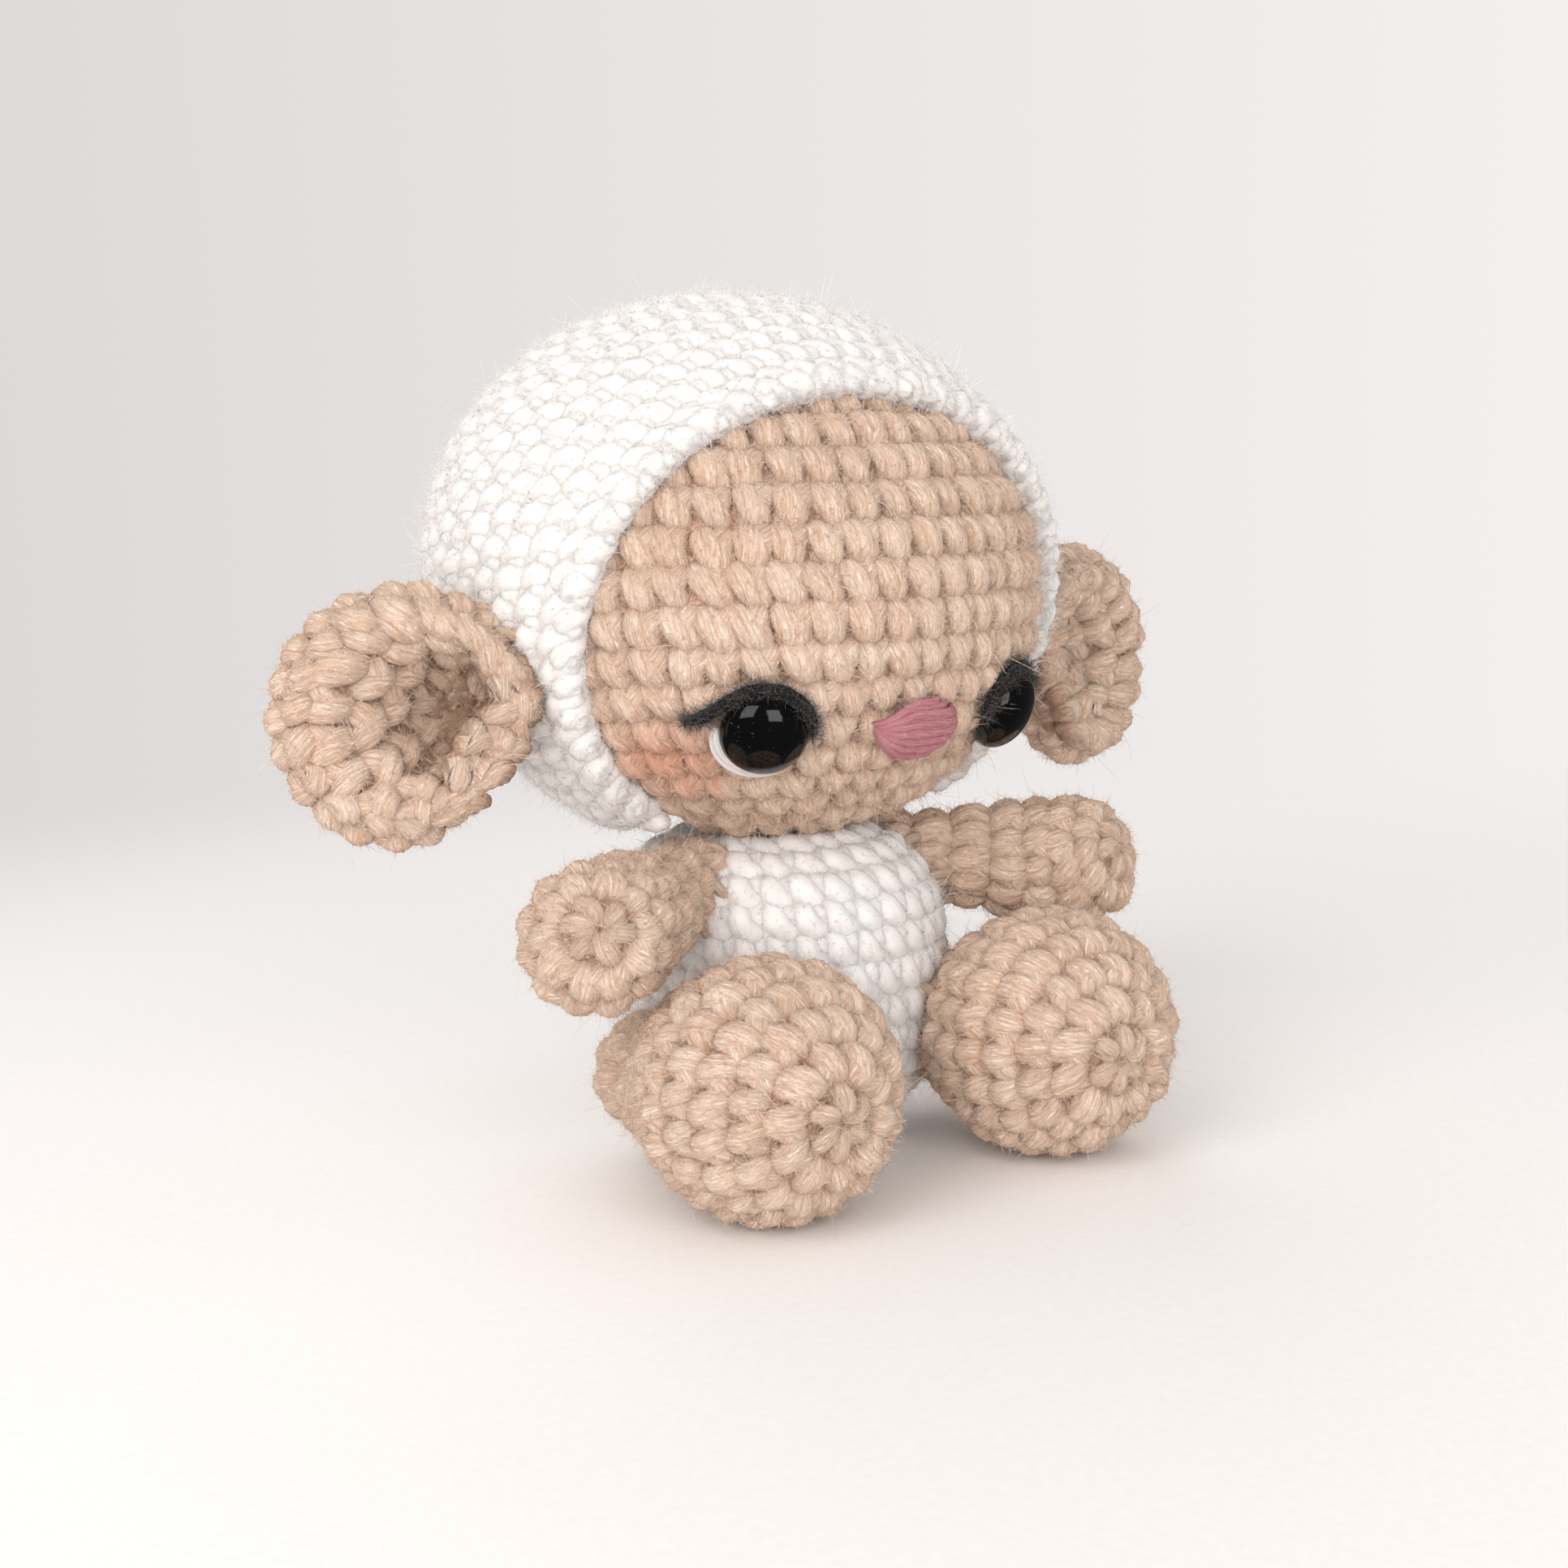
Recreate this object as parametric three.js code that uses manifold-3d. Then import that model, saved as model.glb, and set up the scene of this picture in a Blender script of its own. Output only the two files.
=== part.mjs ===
// A small sitting lamb in crochet, in millimetres. It faces -Y, +Z is up, and its own left is +X.
// Each stuffed part is a sewn shell with an opening at its seam and a separate filling inside.
import * as THREE from 'three';
import { mergeVertices } from 'three/addons/utils/BufferGeometryUtils.js';
import Module from 'manifold-3d';

const wasm = await Module();
wasm.setup();

// Fabric and clearances
const clearance = 0.3;
const swingClearance = 0.45;
const fabric = 2.8;
const bonnetFabric = 2.5;
const yarn = 0.9;
const floorCut = 0.5;
const bonnetGrow = clearance + bonnetFabric;

// Body
const bodyWidth = 41;
const bodyMiddle = 22.5;
const bodyTop = 39;
const squareness = 2.6;

// Head: an ellipsoid that leans back at the top and brings its chin forward
const headWidth = 70.4;
const headHeight = 61.6;
const headSink = 2.3;
const headBottom = bodyTop - headSink;
const headForward = 1;
const headCentre = new THREE.Vector3(0, headForward, headBottom + headHeight / 2);
const headRoundness = 2.04;
const headLean = 0.14;
const faceTilt = 16.4;
const faceDepth = 17.8;
const bonnetHem = 21;

// Neck: the head rolls on a ball seat held by a ring of sewing yarn
const neckY = -3.2;
const neckBall = 14;
const neckRise = 8.5;
const neckPivotZ = bodyTop + neckRise;
const neckOuter = 10.4;
const neckInner = 7.6;

// Arms, from the shoulder to the centre of the paw
const shoulderInset = 5.3;
const shoulderY = -8;
const shoulderDrop = 6;
const shoulderHeight = bodyTop - shoulderDrop;
const armOut = 18.2;
const armForward = 11.5;
const armFall = 2.2;
const shoulder = new THREE.Vector3(bodyWidth / 2 - shoulderInset, shoulderY, shoulderHeight);
const paw = shoulder.clone().add(new THREE.Vector3(armOut, -armForward, -armFall));
const shoulderRadius = 5;
const pawRadius = 8.6;
const armRaise = [-2, 12];

// Legs, from the hip to the centre of the round foot, which the floor presses flat
const hipInset = 0.5;
const hipY = -8;
const hipHeight = 11.5;
const hipRadius = 7.4;
const footRadius = 14.5;
const footInset = 0.5;
const footForward = 23;
const hip = new THREE.Vector3(bodyWidth / 2 - hipInset, hipY, hipHeight);
const foot = new THREE.Vector3(hip.x - footInset, hip.y - footForward, footRadius - floorCut);
const legDrop = [-2, 35];

// Ears: thick cups that open to the front, hollowed deepest beside the head
const earDrop = 13;
const earHeightUp = headCentre.z - earDrop;
const earForward = 4;
const earSink = 2.2;
const earWidth = 30;
const earHeight = 30.5;
const earFront = 4.3;
const earBack = 7.7;
const earSquareness = 2.5;
const earTurn = 20;
const earHollowRadius = 9;
const earHollowDepth = 8.4;
const earHollowShift = 3.4;
const earFlap = [-8, 8];

// Safety eyes: a domed button with a ribbed post through the fabric and a washer behind it
const eyeRadius = 4.8;
const eyeDome = 3.4;
const eyeRim = 0.6;
const eyeAzimuth = 31.5;
const eyeLatitude = -30;
const postRadius = 1.3;
const postRib = 0.25;
const postRibs = 4;
const postLength = 9;
const washerRadius = 5.2;
const washerThickness = 1.4;
const washerDepth = fabric + clearance * 2.5;
const chamfer = 0.4;

// Stitched trim
const lashRadius = 0.75;
const lashWing = 5;
const eyeWhiteWidth = 1.5;
const noseWidth = 10;
const noseHeight = 7.6;
const noseLatitude = -30.5;
const tailLength = 9;
const tailRadius = 4.6;
const tailHeight = 9;
const tailTilt = -70;

const sides = { right: -1, left: 1 };
const rad = THREE.MathUtils.degToRad;
const X = new THREE.Vector3(1, 0, 0);
const Z = new THREE.Vector3(0, 0, 1);
const bigger = headWidth * 4;

const materials = {
  beige: new THREE.MeshStandardMaterial({ color: 0xd3b293, roughness: 0.95, metalness: 0 }),
  white: new THREE.MeshStandardMaterial({ color: 0xf1efed, roughness: 0.95, metalness: 0 }),
  filling: new THREE.MeshStandardMaterial({ color: 0xf7f6f2, roughness: 1, metalness: 0 }),
  black: new THREE.MeshStandardMaterial({ color: 0x0c0c0e, roughness: 0.12, metalness: 0 }),
  washer: new THREE.MeshStandardMaterial({ color: 0xe8e6e0, roughness: 0.45, metalness: 0 }),
  lash: new THREE.MeshStandardMaterial({ color: 0x161415, roughness: 0.9, metalness: 0 }),
  pink: new THREE.MeshStandardMaterial({ color: 0xb87578, roughness: 0.85, metalness: 0 }),
};

// Between three.js geometry and solids for cutting
function toSolid(geometry) {
  const bare = geometry.clone();
  bare.deleteAttribute('normal');
  bare.deleteAttribute('uv');
  const merged = mergeVertices(bare, 1e-5);
  return new wasm.Manifold(new wasm.Mesh({
    numProp: 3,
    vertProperties: new Float32Array(merged.attributes.position.array),
    triVerts: new Uint32Array(merged.index.array),
  }));
}

function toGeometry(solid) {
  const mesh = solid.getMesh();
  const geometry = new THREE.BufferGeometry();
  geometry.setAttribute('position', new THREE.BufferAttribute(new Float32Array(mesh.vertProperties), 3));
  geometry.setIndex(new THREE.BufferAttribute(new Uint32Array(mesh.triVerts), 1));
  geometry.computeVertexNormals();
  return geometry;
}

// A profile of [radius, height] pairs, listed from the lowest point up, turned about Z
function revolve(profile, segments) {
  const points = profile.map(([radius, height]) => new THREE.Vector2(Math.max(radius, 0), height));
  return new THREE.LatheGeometry(points, segments).rotateX(Math.PI / 2);
}

// Half an outline from the lower pole to the upper pole, rounder or squarer with its power
function eggProfile(radius, up, down, power, steps) {
  return Array.from({ length: steps + 1 }, (_, i) => {
    const angle = rad(-90 + (180 * i) / steps);
    const height = Math.abs(Math.sin(angle)) ** (2 / power);
    const reach = i % steps === 0 ? 0 : Math.cos(angle) ** (2 / power);
    return [radius * reach, angle < 0 ? -down * height : up * height];
  });
}

function ball(centre, radius, segments = 24) {
  const geometry = revolve(eggProfile(radius, radius, radius, 2, segments / 2), segments);
  return toSolid(geometry.translate(centre.x, centre.y, centre.z));
}

function cylinder(radius, from, to, segments = 20) {
  const length = from.distanceTo(to);
  const geometry = new THREE.CylinderGeometry(radius, radius, length, segments).rotateX(Math.PI / 2);
  return toSolid(place(geometry.translate(0, 0, length / 2), from, to.clone().sub(from)));
}

// Turns a geometry built along +Z to a direction, then moves it to its place
function place(geometry, position, direction) {
  const turn = new THREE.Quaternion().setFromUnitVectors(Z, direction.clone().normalize());
  return geometry.applyQuaternion(turn).translate(position.x, position.y, position.z);
}

function halfSpace(normal, offset) {
  const box = new THREE.BoxGeometry(bigger, bigger, bigger).translate(0, 0, offset + bigger / 2);
  return toSolid(place(box, new THREE.Vector3(), normal));
}

function turned(solid, pivot, axis, degrees) {
  const matrix = new THREE.Matrix4().makeTranslation(pivot)
    .multiply(new THREE.Matrix4().makeRotationAxis(axis.clone().normalize(), rad(degrees)))
    .multiply(new THREE.Matrix4().makeTranslation(pivot.clone().negate()));
  return solid.transform(matrix.elements);
}

// Head forms: grow is the distance outside the beige fabric
function headForm(grow) {
  const radius = headWidth / 2 + grow;
  const half = headHeight / 2 + grow;
  const lean = new THREE.Matrix4().set(1, 0, 0, 0, 0, 1, headLean, 0, 0, 0, 1, 0, 0, 0, 0, 1);
  const geometry = revolve(eggProfile(radius, half, half, headRoundness, 12), 28).applyMatrix4(lean);
  return toSolid(geometry.translate(headCentre.x, headCentre.y, headCentre.z));
}

function headPoint(azimuth, latitude, grow = 0) {
  const radius = headWidth / 2 + grow;
  const height = (headHeight / 2 + grow) * Math.sin(rad(latitude));
  const reach = radius * Math.cos(rad(latitude));
  return new THREE.Vector3(
    reach * Math.sin(rad(azimuth)),
    -reach * Math.cos(rad(azimuth)) + headLean * height,
    height,
  ).add(headCentre);
}

function headNormal(azimuth, latitude) {
  const out = headPoint(azimuth, latitude, 1).sub(headPoint(azimuth, latitude, 0));
  const across = headPoint(azimuth + 1, latitude).sub(headPoint(azimuth - 1, latitude));
  const upward = headPoint(azimuth, latitude + 1).sub(headPoint(azimuth, latitude - 1));
  const normal = across.cross(upward).normalize();
  return normal.dot(out) < 0 ? normal.negate() : normal;
}

const faceNormal = new THREE.Vector3(0, -Math.cos(rad(faceTilt)), -Math.sin(rad(faceTilt)));
const neckPivot = new THREE.Vector3(0, neckY, neckPivotZ);
const neckLow = new THREE.Vector3(0, neckY, bodyMiddle);

function neckBore(radius) {
  return cylinder(radius, neckLow, neckPivot, 24);
}

// Body forms: grow is the distance outside the white fabric
function bodyForm(grow) {
  const down = bodyMiddle + floorCut + grow;
  const up = bodyTop - bodyMiddle + grow;
  const geometry = revolve(eggProfile(bodyWidth / 2 + grow, up, down, squareness, 10), 24);
  return toSolid(geometry.translate(0, neckY, bodyMiddle));
}

// A limb along +Z: a round root, a tube that swells, and a round end
function limbProfile(rootRadius, endRadius, length, grow) {
  const root = [-90, -60, -30].map((angle) => [
    (rootRadius + grow) * Math.cos(rad(angle)) * (angle > -90),
    (rootRadius + grow) * Math.sin(rad(angle)),
  ]);
  const tube = [0, 0.3, 0.6, 0.85].map((t) => {
    const swell = t * t * (3 - 2 * t);
    return [rootRadius + grow + (endRadius - rootRadius) * swell, length * t];
  });
  const end = [0, 22.5, 45, 67.5, 90].map((angle) => [
    (endRadius + grow) * Math.cos(rad(angle)) * (angle < 90),
    length + (endRadius + grow) * Math.sin(rad(angle)),
  ]);
  return [...root, ...tube, ...end];
}

// The limb with the body's form taken out of it at every angle that its joint reaches
function limb(spec, side, grow, bodyGrow) {
  const root = mirrored(spec.root, side);
  const tip = mirrored(spec.tip, side);
  const axis = spec.axis(side);
  const profile = limbProfile(spec.rootRadius, spec.tipRadius, root.distanceTo(tip), grow);
  const geometry = revolve(profile, spec.segments);
  let solid = toSolid(place(geometry, root, tip.clone().sub(root)));
  solid = solid.subtract(bodyForm(clearance + bodyGrow));
  const body = bodyForm(swingClearance + bodyGrow);
  const [low, high] = spec.range;
  for (let step = 0; step <= spec.sweepSteps; step += 1) {
    const angle = low + ((high - low) * step) / spec.sweepSteps;
    solid = solid.subtract(turned(body, root, axis, -angle));
  }
  return solid;
}

function mirrored(point, side) {
  return new THREE.Vector3(point.x * side, point.y, point.z);
}

const armSpec = {
  root: shoulder,
  tip: paw,
  rootRadius: shoulderRadius,
  tipRadius: pawRadius,
  range: armRaise,
  sweepSteps: 1,
  segments: 12,
  axis: (side) => new THREE.Vector3(paw.y - shoulder.y, (shoulder.x - paw.x) * side, 0).normalize(),
};

const legSpec = {
  root: hip,
  tip: foot,
  rootRadius: hipRadius,
  tipRadius: footRadius,
  range: legDrop,
  sweepSteps: 3,
  segments: 16,
  axis: () => X,
};

const aboveFloor = (height) => halfSpace(Z, height);

// A sewn shell: the outer form less the inner one, open where it is sewn to the body
function limbShell(spec, side) {
  const root = mirrored(spec.root, side);
  const tip = mirrored(spec.tip, side);
  const inward = new THREE.Vector3(0, neckY, root.z);
  const opening = cylinder(spec.rootRadius - fabric, inward, root.clone().lerp(tip, 0.4), 12);
  const outer = limb(spec, side, 0, 0).intersect(aboveFloor(0));
  const inner = limb(spec, side, -fabric, fabric).intersect(aboveFloor(fabric));
  return outer.subtract(inner).subtract(opening);
}

function limbFilling(spec, side) {
  const inset = fabric + clearance * 2;
  return limb(spec, side, -inset, inset).intersect(aboveFloor(inset));
}

// The whip stitches that hold a limb: a yarn band round its root, against the body
function limbSeam(spec, side) {
  const band = limb(spec, side, clearance + yarn, 0).subtract(limb(spec, side, clearance, -yarn));
  const nearBody = bodyForm(swingClearance + yarn * 2);
  return keepLargest(band.intersect(nearBody).intersect(aboveFloor(0)));
}

function keepLargest(solid) {
  return solid.decompose().sort((a, b) => b.volume() - a.volume())[0];
}

function bodyShell() {
  const seat = ball(neckPivot, neckBall + clearance * 2 + yarn);
  const outer = bodyForm(0).intersect(aboveFloor(0));
  const inner = bodyForm(-fabric).intersect(aboveFloor(fabric));
  return outer.subtract(inner).subtract(seat).subtract(neckBore(neckInner));
}

function bodyFilling() {
  const inset = fabric + clearance * 2;
  const seat = ball(neckPivot, neckBall + clearance * 3 + yarn);
  const wad = bodyForm(-inset).intersect(aboveFloor(inset)).subtract(seat);
  const plug = neckBore(neckInner - clearance).intersect(aboveFloor(bodyMiddle + 1));
  return wad.add(plug).subtract(ball(neckPivot, neckBall + clearance));
}

function neckSeam() {
  const ring = neckBore(neckOuter - yarn).subtract(neckBore(neckInner + clearance));
  const band = ball(neckPivot, neckBall + clearance + yarn).subtract(ball(neckPivot, neckBall + clearance));
  return keepLargest(ring.intersect(band));
}

function headShell() {
  const boss = ball(neckPivot, neckBall).intersect(neckBore(neckOuter));
  const bore = neckBore(neckInner);
  let shell = headForm(0).add(boss).subtract(headForm(-fabric)).subtract(bore);
  for (const side of Object.values(sides)) {
    shell = shell.subtract(eyePath(side, postRadius + postRib + clearance));
  }
  return shell;
}

function headFilling() {
  const inset = fabric + clearance * 2;
  const plug = ball(neckPivot, neckBall - clearance).intersect(neckBore(neckInner - clearance));
  let wad = headForm(-inset).add(plug);
  for (const side of Object.values(sides)) {
    const { root, normal } = eyePlace(side);
    const back = root.clone().addScaledVector(normal, -postLength - clearance);
    const front = root.clone().addScaledVector(normal, fabric);
    const washerBack = root.clone().addScaledVector(normal, -washerDepth - washerThickness - clearance);
    wad = wad.subtract(cylinder(postRadius + postRib + clearance * 2, back, front, 12));
    wad = wad.subtract(cylinder(washerRadius + clearance, washerBack, front, 20));
  }
  return wad;
}

// The bonnet covers the head behind the slanting plane of the face
function bonnet() {
  const outer = headForm(clearance + bonnetFabric);
  const hem = new THREE.Vector3(0, neckY, headCentre.z - headHeight / 4);
  const bore = cylinder(bonnetHem, new THREE.Vector3(0, neckY, 0), hem, 28);
  const face = halfSpace(faceNormal, headCentre.dot(faceNormal) + faceDepth);
  return outer.subtract(headForm(clearance)).subtract(face).subtract(bore);
}

function eyePlace(side) {
  const azimuth = eyeAzimuth * side;
  const normal = headNormal(azimuth, eyeLatitude);
  return { root: headPoint(azimuth, eyeLatitude), normal };
}

function eyePath(side, radius) {
  const { root, normal } = eyePlace(side);
  const inside = root.clone().addScaledVector(normal, -fabric * 2);
  return cylinder(radius, inside, root.clone().addScaledVector(normal, fabric), 16);
}

function eye(side) {
  const { root, normal } = eyePlace(side);
  const ribs = Array.from({ length: postRibs }, (_, i) => {
    const top = -fabric - clearance - (i * (postLength - fabric - postRadius)) / postRibs;
    return [[postRadius + postRib, top - postRib * 3.6], [postRadius, top - postRib * 2], [postRadius, top]];
  }).reverse().flat();
  const dome = [0, 30, 55, 75].map((angle) => [
    eyeRadius * Math.cos(rad(angle)),
    eyeRim + eyeDome * Math.sin(rad(angle)),
  ]);
  const profile = [
    [0, -postLength], [postRadius * 0.7, -postLength], ...ribs,
    [postRadius, 0], [eyeRadius - chamfer, 0], ...dome, [0, eyeRim + eyeDome],
  ];
  const position = root.clone().addScaledVector(normal, clearance);
  return toSolid(place(revolve(profile, 16), position, normal));
}

function eyeWasher(side) {
  const { root, normal } = eyePlace(side);
  const bore = postRadius + postRib + clearance;
  const profile = [
    [bore, 0], [washerRadius - chamfer, 0], [washerRadius, chamfer], [washerRadius, washerThickness - chamfer],
    [bore + chamfer * 2, washerThickness], [bore, washerThickness], [bore, 0],
  ];
  const position = root.clone().addScaledVector(normal, -washerDepth - washerThickness);
  return toSolid(place(revolve(profile, 16), position, normal));
}

function onFace(solid, low, high) {
  return solid.intersect(headForm(high)).subtract(headForm(low));
}

// A crescent of white yarn on the outer, lower side of the eye
function eyeWhite(side) {
  const { root, normal } = eyePlace(side);
  const sideways = new THREE.Vector3().crossVectors(Z, normal).normalize().multiplyScalar(side);
  const down = new THREE.Vector3().crossVectors(normal, Z).cross(normal).normalize().negate();
  const shift = sideways.multiplyScalar(0.8).add(down.multiplyScalar(0.6)).normalize();
  const back = root.clone().addScaledVector(normal, -fabric);
  const front = root.clone().addScaledVector(normal, fabric);
  const moved = shift.multiplyScalar(eyeWhiteWidth * 0.75);
  const disc = cylinder(eyeRadius + clearance, back.clone().add(moved), front.clone().add(moved), 20);
  const hole = cylinder(eyeRadius + clearance, back, front, 20);
  const crescent = onFace(disc.subtract(hole), clearance, clearance + yarn);
  return keepLargest(crescent.subtract(eyelash(side, lashRadius + clearance)));
}

// A thick black lash over the eye, drawn out into a wing on the outer side
function eyelash(side, radius = lashRadius) {
  const { root, normal } = eyePlace(side);
  const sideways = new THREE.Vector3().crossVectors(Z, normal).normalize().multiplyScalar(side);
  const upward = new THREE.Vector3().crossVectors(normal, sideways).normalize().multiplyScalar(side);
  const reach = eyeRadius + clearance + lashRadius;
  const spot = (across, up) => {
    const sink = (across * across + up * up) / headWidth;
    return root.clone().addScaledVector(sideways, across).addScaledVector(upward, up)
      .addScaledVector(normal, clearance * 2 + lashRadius - sink);
  };
  const arc = [125, 105, 85, 65, 45, 25].map((angle) =>
    spot(reach * Math.cos(rad(angle)), reach * Math.sin(rad(angle))));
  const wing = spot(reach + lashWing * 0.8, reach * 0.28);
  const path = new THREE.CatmullRomCurve3([...arc, wing]);
  const section = new THREE.Shape().absarc(0, 0, radius, 0, Math.PI * 2);
  const tube = new THREE.ExtrudeGeometry(section, { extrudePath: path, steps: 12, curveSegments: 3 });
  return toSolid(tube);
}

function nose() {
  const normal = headNormal(0, noseLatitude);
  const root = headPoint(0, noseLatitude);
  const outline = new THREE.Shape();
  outline.moveTo(-noseWidth / 2, noseHeight * 0.2);
  outline.quadraticCurveTo(-noseWidth * 0.45, noseHeight / 2, 0, noseHeight / 2);
  outline.quadraticCurveTo(noseWidth * 0.45, noseHeight / 2, noseWidth / 2, noseHeight * 0.2);
  outline.quadraticCurveTo(noseWidth * 0.3, -noseHeight * 0.4, 0, -noseHeight / 2);
  outline.quadraticCurveTo(-noseWidth * 0.3, -noseHeight * 0.4, -noseWidth / 2, noseHeight * 0.2);
  const slab = new THREE.ExtrudeGeometry(outline, { depth: noseWidth, bevelEnabled: false, curveSegments: 5 });
  slab.translate(0, 0, -noseWidth / 2).rotateX(Math.PI / 2 - Math.asin(normal.z));
  return onFace(toSolid(slab.translate(root.x, root.y, root.z)), clearance, clearance + yarn);
}

// An ear turns about its sewn edge, on the side of the bonnet
function earHinge(side) {
  const rise = (earHeightUp - headCentre.z) / (headHeight / 2 + bonnetGrow);
  const reach = (headWidth / 2 + bonnetGrow) * Math.sqrt(1 - rise * rise);
  return new THREE.Vector3(reach * side, -earForward, earHeightUp);
}

function earFrame(side) {
  const centre = earHinge(side);
  centre.x += (earWidth / 2 - earSink) * side;
  return new THREE.Matrix4().makeTranslation(centre)
    .multiply(new THREE.Matrix4().makeRotationZ(rad(earTurn * side)));
}

function ear(side) {
  const bulge = revolve(eggProfile(earHeight / 2, earFront, earBack, earSquareness, 10), 22);
  bulge.scale(earWidth / earHeight, 1, 1).rotateX(Math.PI / 2);
  const cup = toSolid(bulge.applyMatrix4(earFrame(side)));
  const hollow = revolve(eggProfile(earHollowRadius, earHollowDepth, earHollowDepth, 2, 8), 18);
  hollow.rotateX(Math.PI / 2).translate(-earHollowShift * side, -earFront, 0);
  let solid = cup.subtract(toSolid(hollow.applyMatrix4(earFrame(side))));
  const bonnetSide = headForm(clearance + bonnetGrow);
  for (const angle of [earFlap[0], 0, earFlap[1]]) {
    solid = solid.subtract(turned(bonnetSide, earHinge(side), Z, -angle));
  }
  return solid;
}

function earSeam(side) {
  const hinge = earHinge(side);
  const half = earHeight * 0.25;
  const low = hinge.clone().setZ(hinge.z - half);
  const high = hinge.clone().setZ(hinge.z + half);
  const strip = cylinder(yarn * 2, low, high, 12);
  const clear = ear(side);
  let solid = strip.subtract(headForm(clearance + bonnetGrow));
  for (const angle of [earFlap[0], earFlap[0] / 2, 0, earFlap[1] / 2, earFlap[1]]) {
    solid = solid.subtract(turned(clear, hinge, Z, angle));
  }
  return keepLargest(solid);
}

function tail() {
  const fall = (bodyMiddle - tailHeight) / (bodyMiddle + floorCut);
  const surface = neckY + (bodyWidth / 2) * (1 - fall ** squareness) ** (1 / squareness);
  const geometry = revolve(eggProfile(tailRadius, tailLength / 2, tailLength / 2, 2, 8), 14);
  geometry.rotateX(rad(tailTilt)).translate(0, surface + tailLength * 0.25, tailHeight);
  return toSolid(geometry).subtract(bodyForm(clearance));
}

const lamb = new THREE.Group();

function add(name, solid, material) {
  const mesh = new THREE.Mesh(toGeometry(solid), materials[material]);
  mesh.name = name;
  lamb.add(mesh);
}

add('body_shell', bodyShell(), 'white');
add('body_filling', bodyFilling(), 'filling');
add('tail', tail(), 'white');
add('neck_seam', neckSeam(), 'white');
add('head_shell', headShell(), 'beige');
add('head_filling', headFilling(), 'filling');
add('bonnet', bonnet(), 'white');
add('nose', nose(), 'pink');
for (const [name, side] of Object.entries(sides)) {
  add(`${name}_eye`, eye(side), 'black');
  add(`${name}_eye_washer`, eyeWasher(side), 'washer');
  add(`${name}_eye_white`, eyeWhite(side), 'white');
  add(`${name}_eyelash`, eyelash(side), 'lash');
  add(`${name}_ear`, ear(side), 'beige');
  add(`${name}_ear_seam`, earSeam(side), 'beige');
  for (const [part, spec] of Object.entries({ arm: armSpec, leg: legSpec })) {
    add(`${name}_${part}_shell`, limbShell(spec, side), 'beige');
    add(`${name}_${part}_filling`, limbFilling(spec, side), 'filling');
    add(`${name}_${part}_seam`, limbSeam(spec, side), 'beige');
  }
}

// The origin lies on the floor, under the middle of the whole lamb
const box = new THREE.Box3().setFromObject(lamb);
lamb.position.y = -(box.min.y + box.max.y) / 2;

export default lamb;
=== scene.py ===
# A crochet lamb: worsted yarn laid over the lamb's solid forms, one real stitch at a time.
# Lengths are millimetres in the frame's own axes until a mesh is made.
import math
import bpy
import numpy as np
from mathutils import Matrix, Vector


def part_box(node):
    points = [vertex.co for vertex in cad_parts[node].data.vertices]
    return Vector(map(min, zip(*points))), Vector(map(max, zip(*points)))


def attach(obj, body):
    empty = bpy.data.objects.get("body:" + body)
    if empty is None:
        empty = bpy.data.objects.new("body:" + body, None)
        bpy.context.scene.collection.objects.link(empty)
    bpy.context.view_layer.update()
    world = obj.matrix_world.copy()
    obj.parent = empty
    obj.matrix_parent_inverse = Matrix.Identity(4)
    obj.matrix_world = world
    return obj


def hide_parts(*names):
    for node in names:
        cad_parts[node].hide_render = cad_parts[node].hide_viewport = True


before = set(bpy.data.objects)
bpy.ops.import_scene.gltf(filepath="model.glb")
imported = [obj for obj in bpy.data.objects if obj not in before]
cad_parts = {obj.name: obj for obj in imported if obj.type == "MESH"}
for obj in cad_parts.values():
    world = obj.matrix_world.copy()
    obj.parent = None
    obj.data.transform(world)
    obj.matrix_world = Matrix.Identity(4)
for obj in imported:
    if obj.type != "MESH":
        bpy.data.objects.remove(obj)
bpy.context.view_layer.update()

MM = 0.001
SIDES = {"right": -1, "left": 1}
UPWARD = np.array([0, 0, 1.0])

# The lamb's own sizes
BODY_AXIS_Y = 500 * (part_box("body_shell")[0][1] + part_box("body_shell")[1][1])
SHIFT_Y = BODY_AXIS_Y + 3.2
BODY_RADIUS, BODY_MIDDLE, BODY_TOP, FLOOR_CUT, SQUARENESS = 20.5, 22.5, 39.0, 0.5, 2.6
BODY_CENTRE = np.array([0, BODY_AXIS_Y, BODY_MIDDLE])
HEAD_CENTRE = np.array([0.0, 1.0 + SHIFT_Y, 67.5])
HEAD_RADIUS, HEAD_HALF, HEAD_LEAN = 35.2, 30.8, 0.14
FACE_TILT, FACE_DEPTH, BONNET_OUT, BONNET_HEM, HEM_TOP = 16.4, 17.8, 2.8, 21.0, 52.0
EYE_AZIMUTH, EYE_LATITUDE, EYE_RADIUS = 31.5, -30.0, 4.8
NOSE_AZIMUTH, NOSE_LATITUDE = 1.5, -31.5
CHEEK_AZIMUTH, CHEEK_LATITUDE = 54, -39
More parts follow.
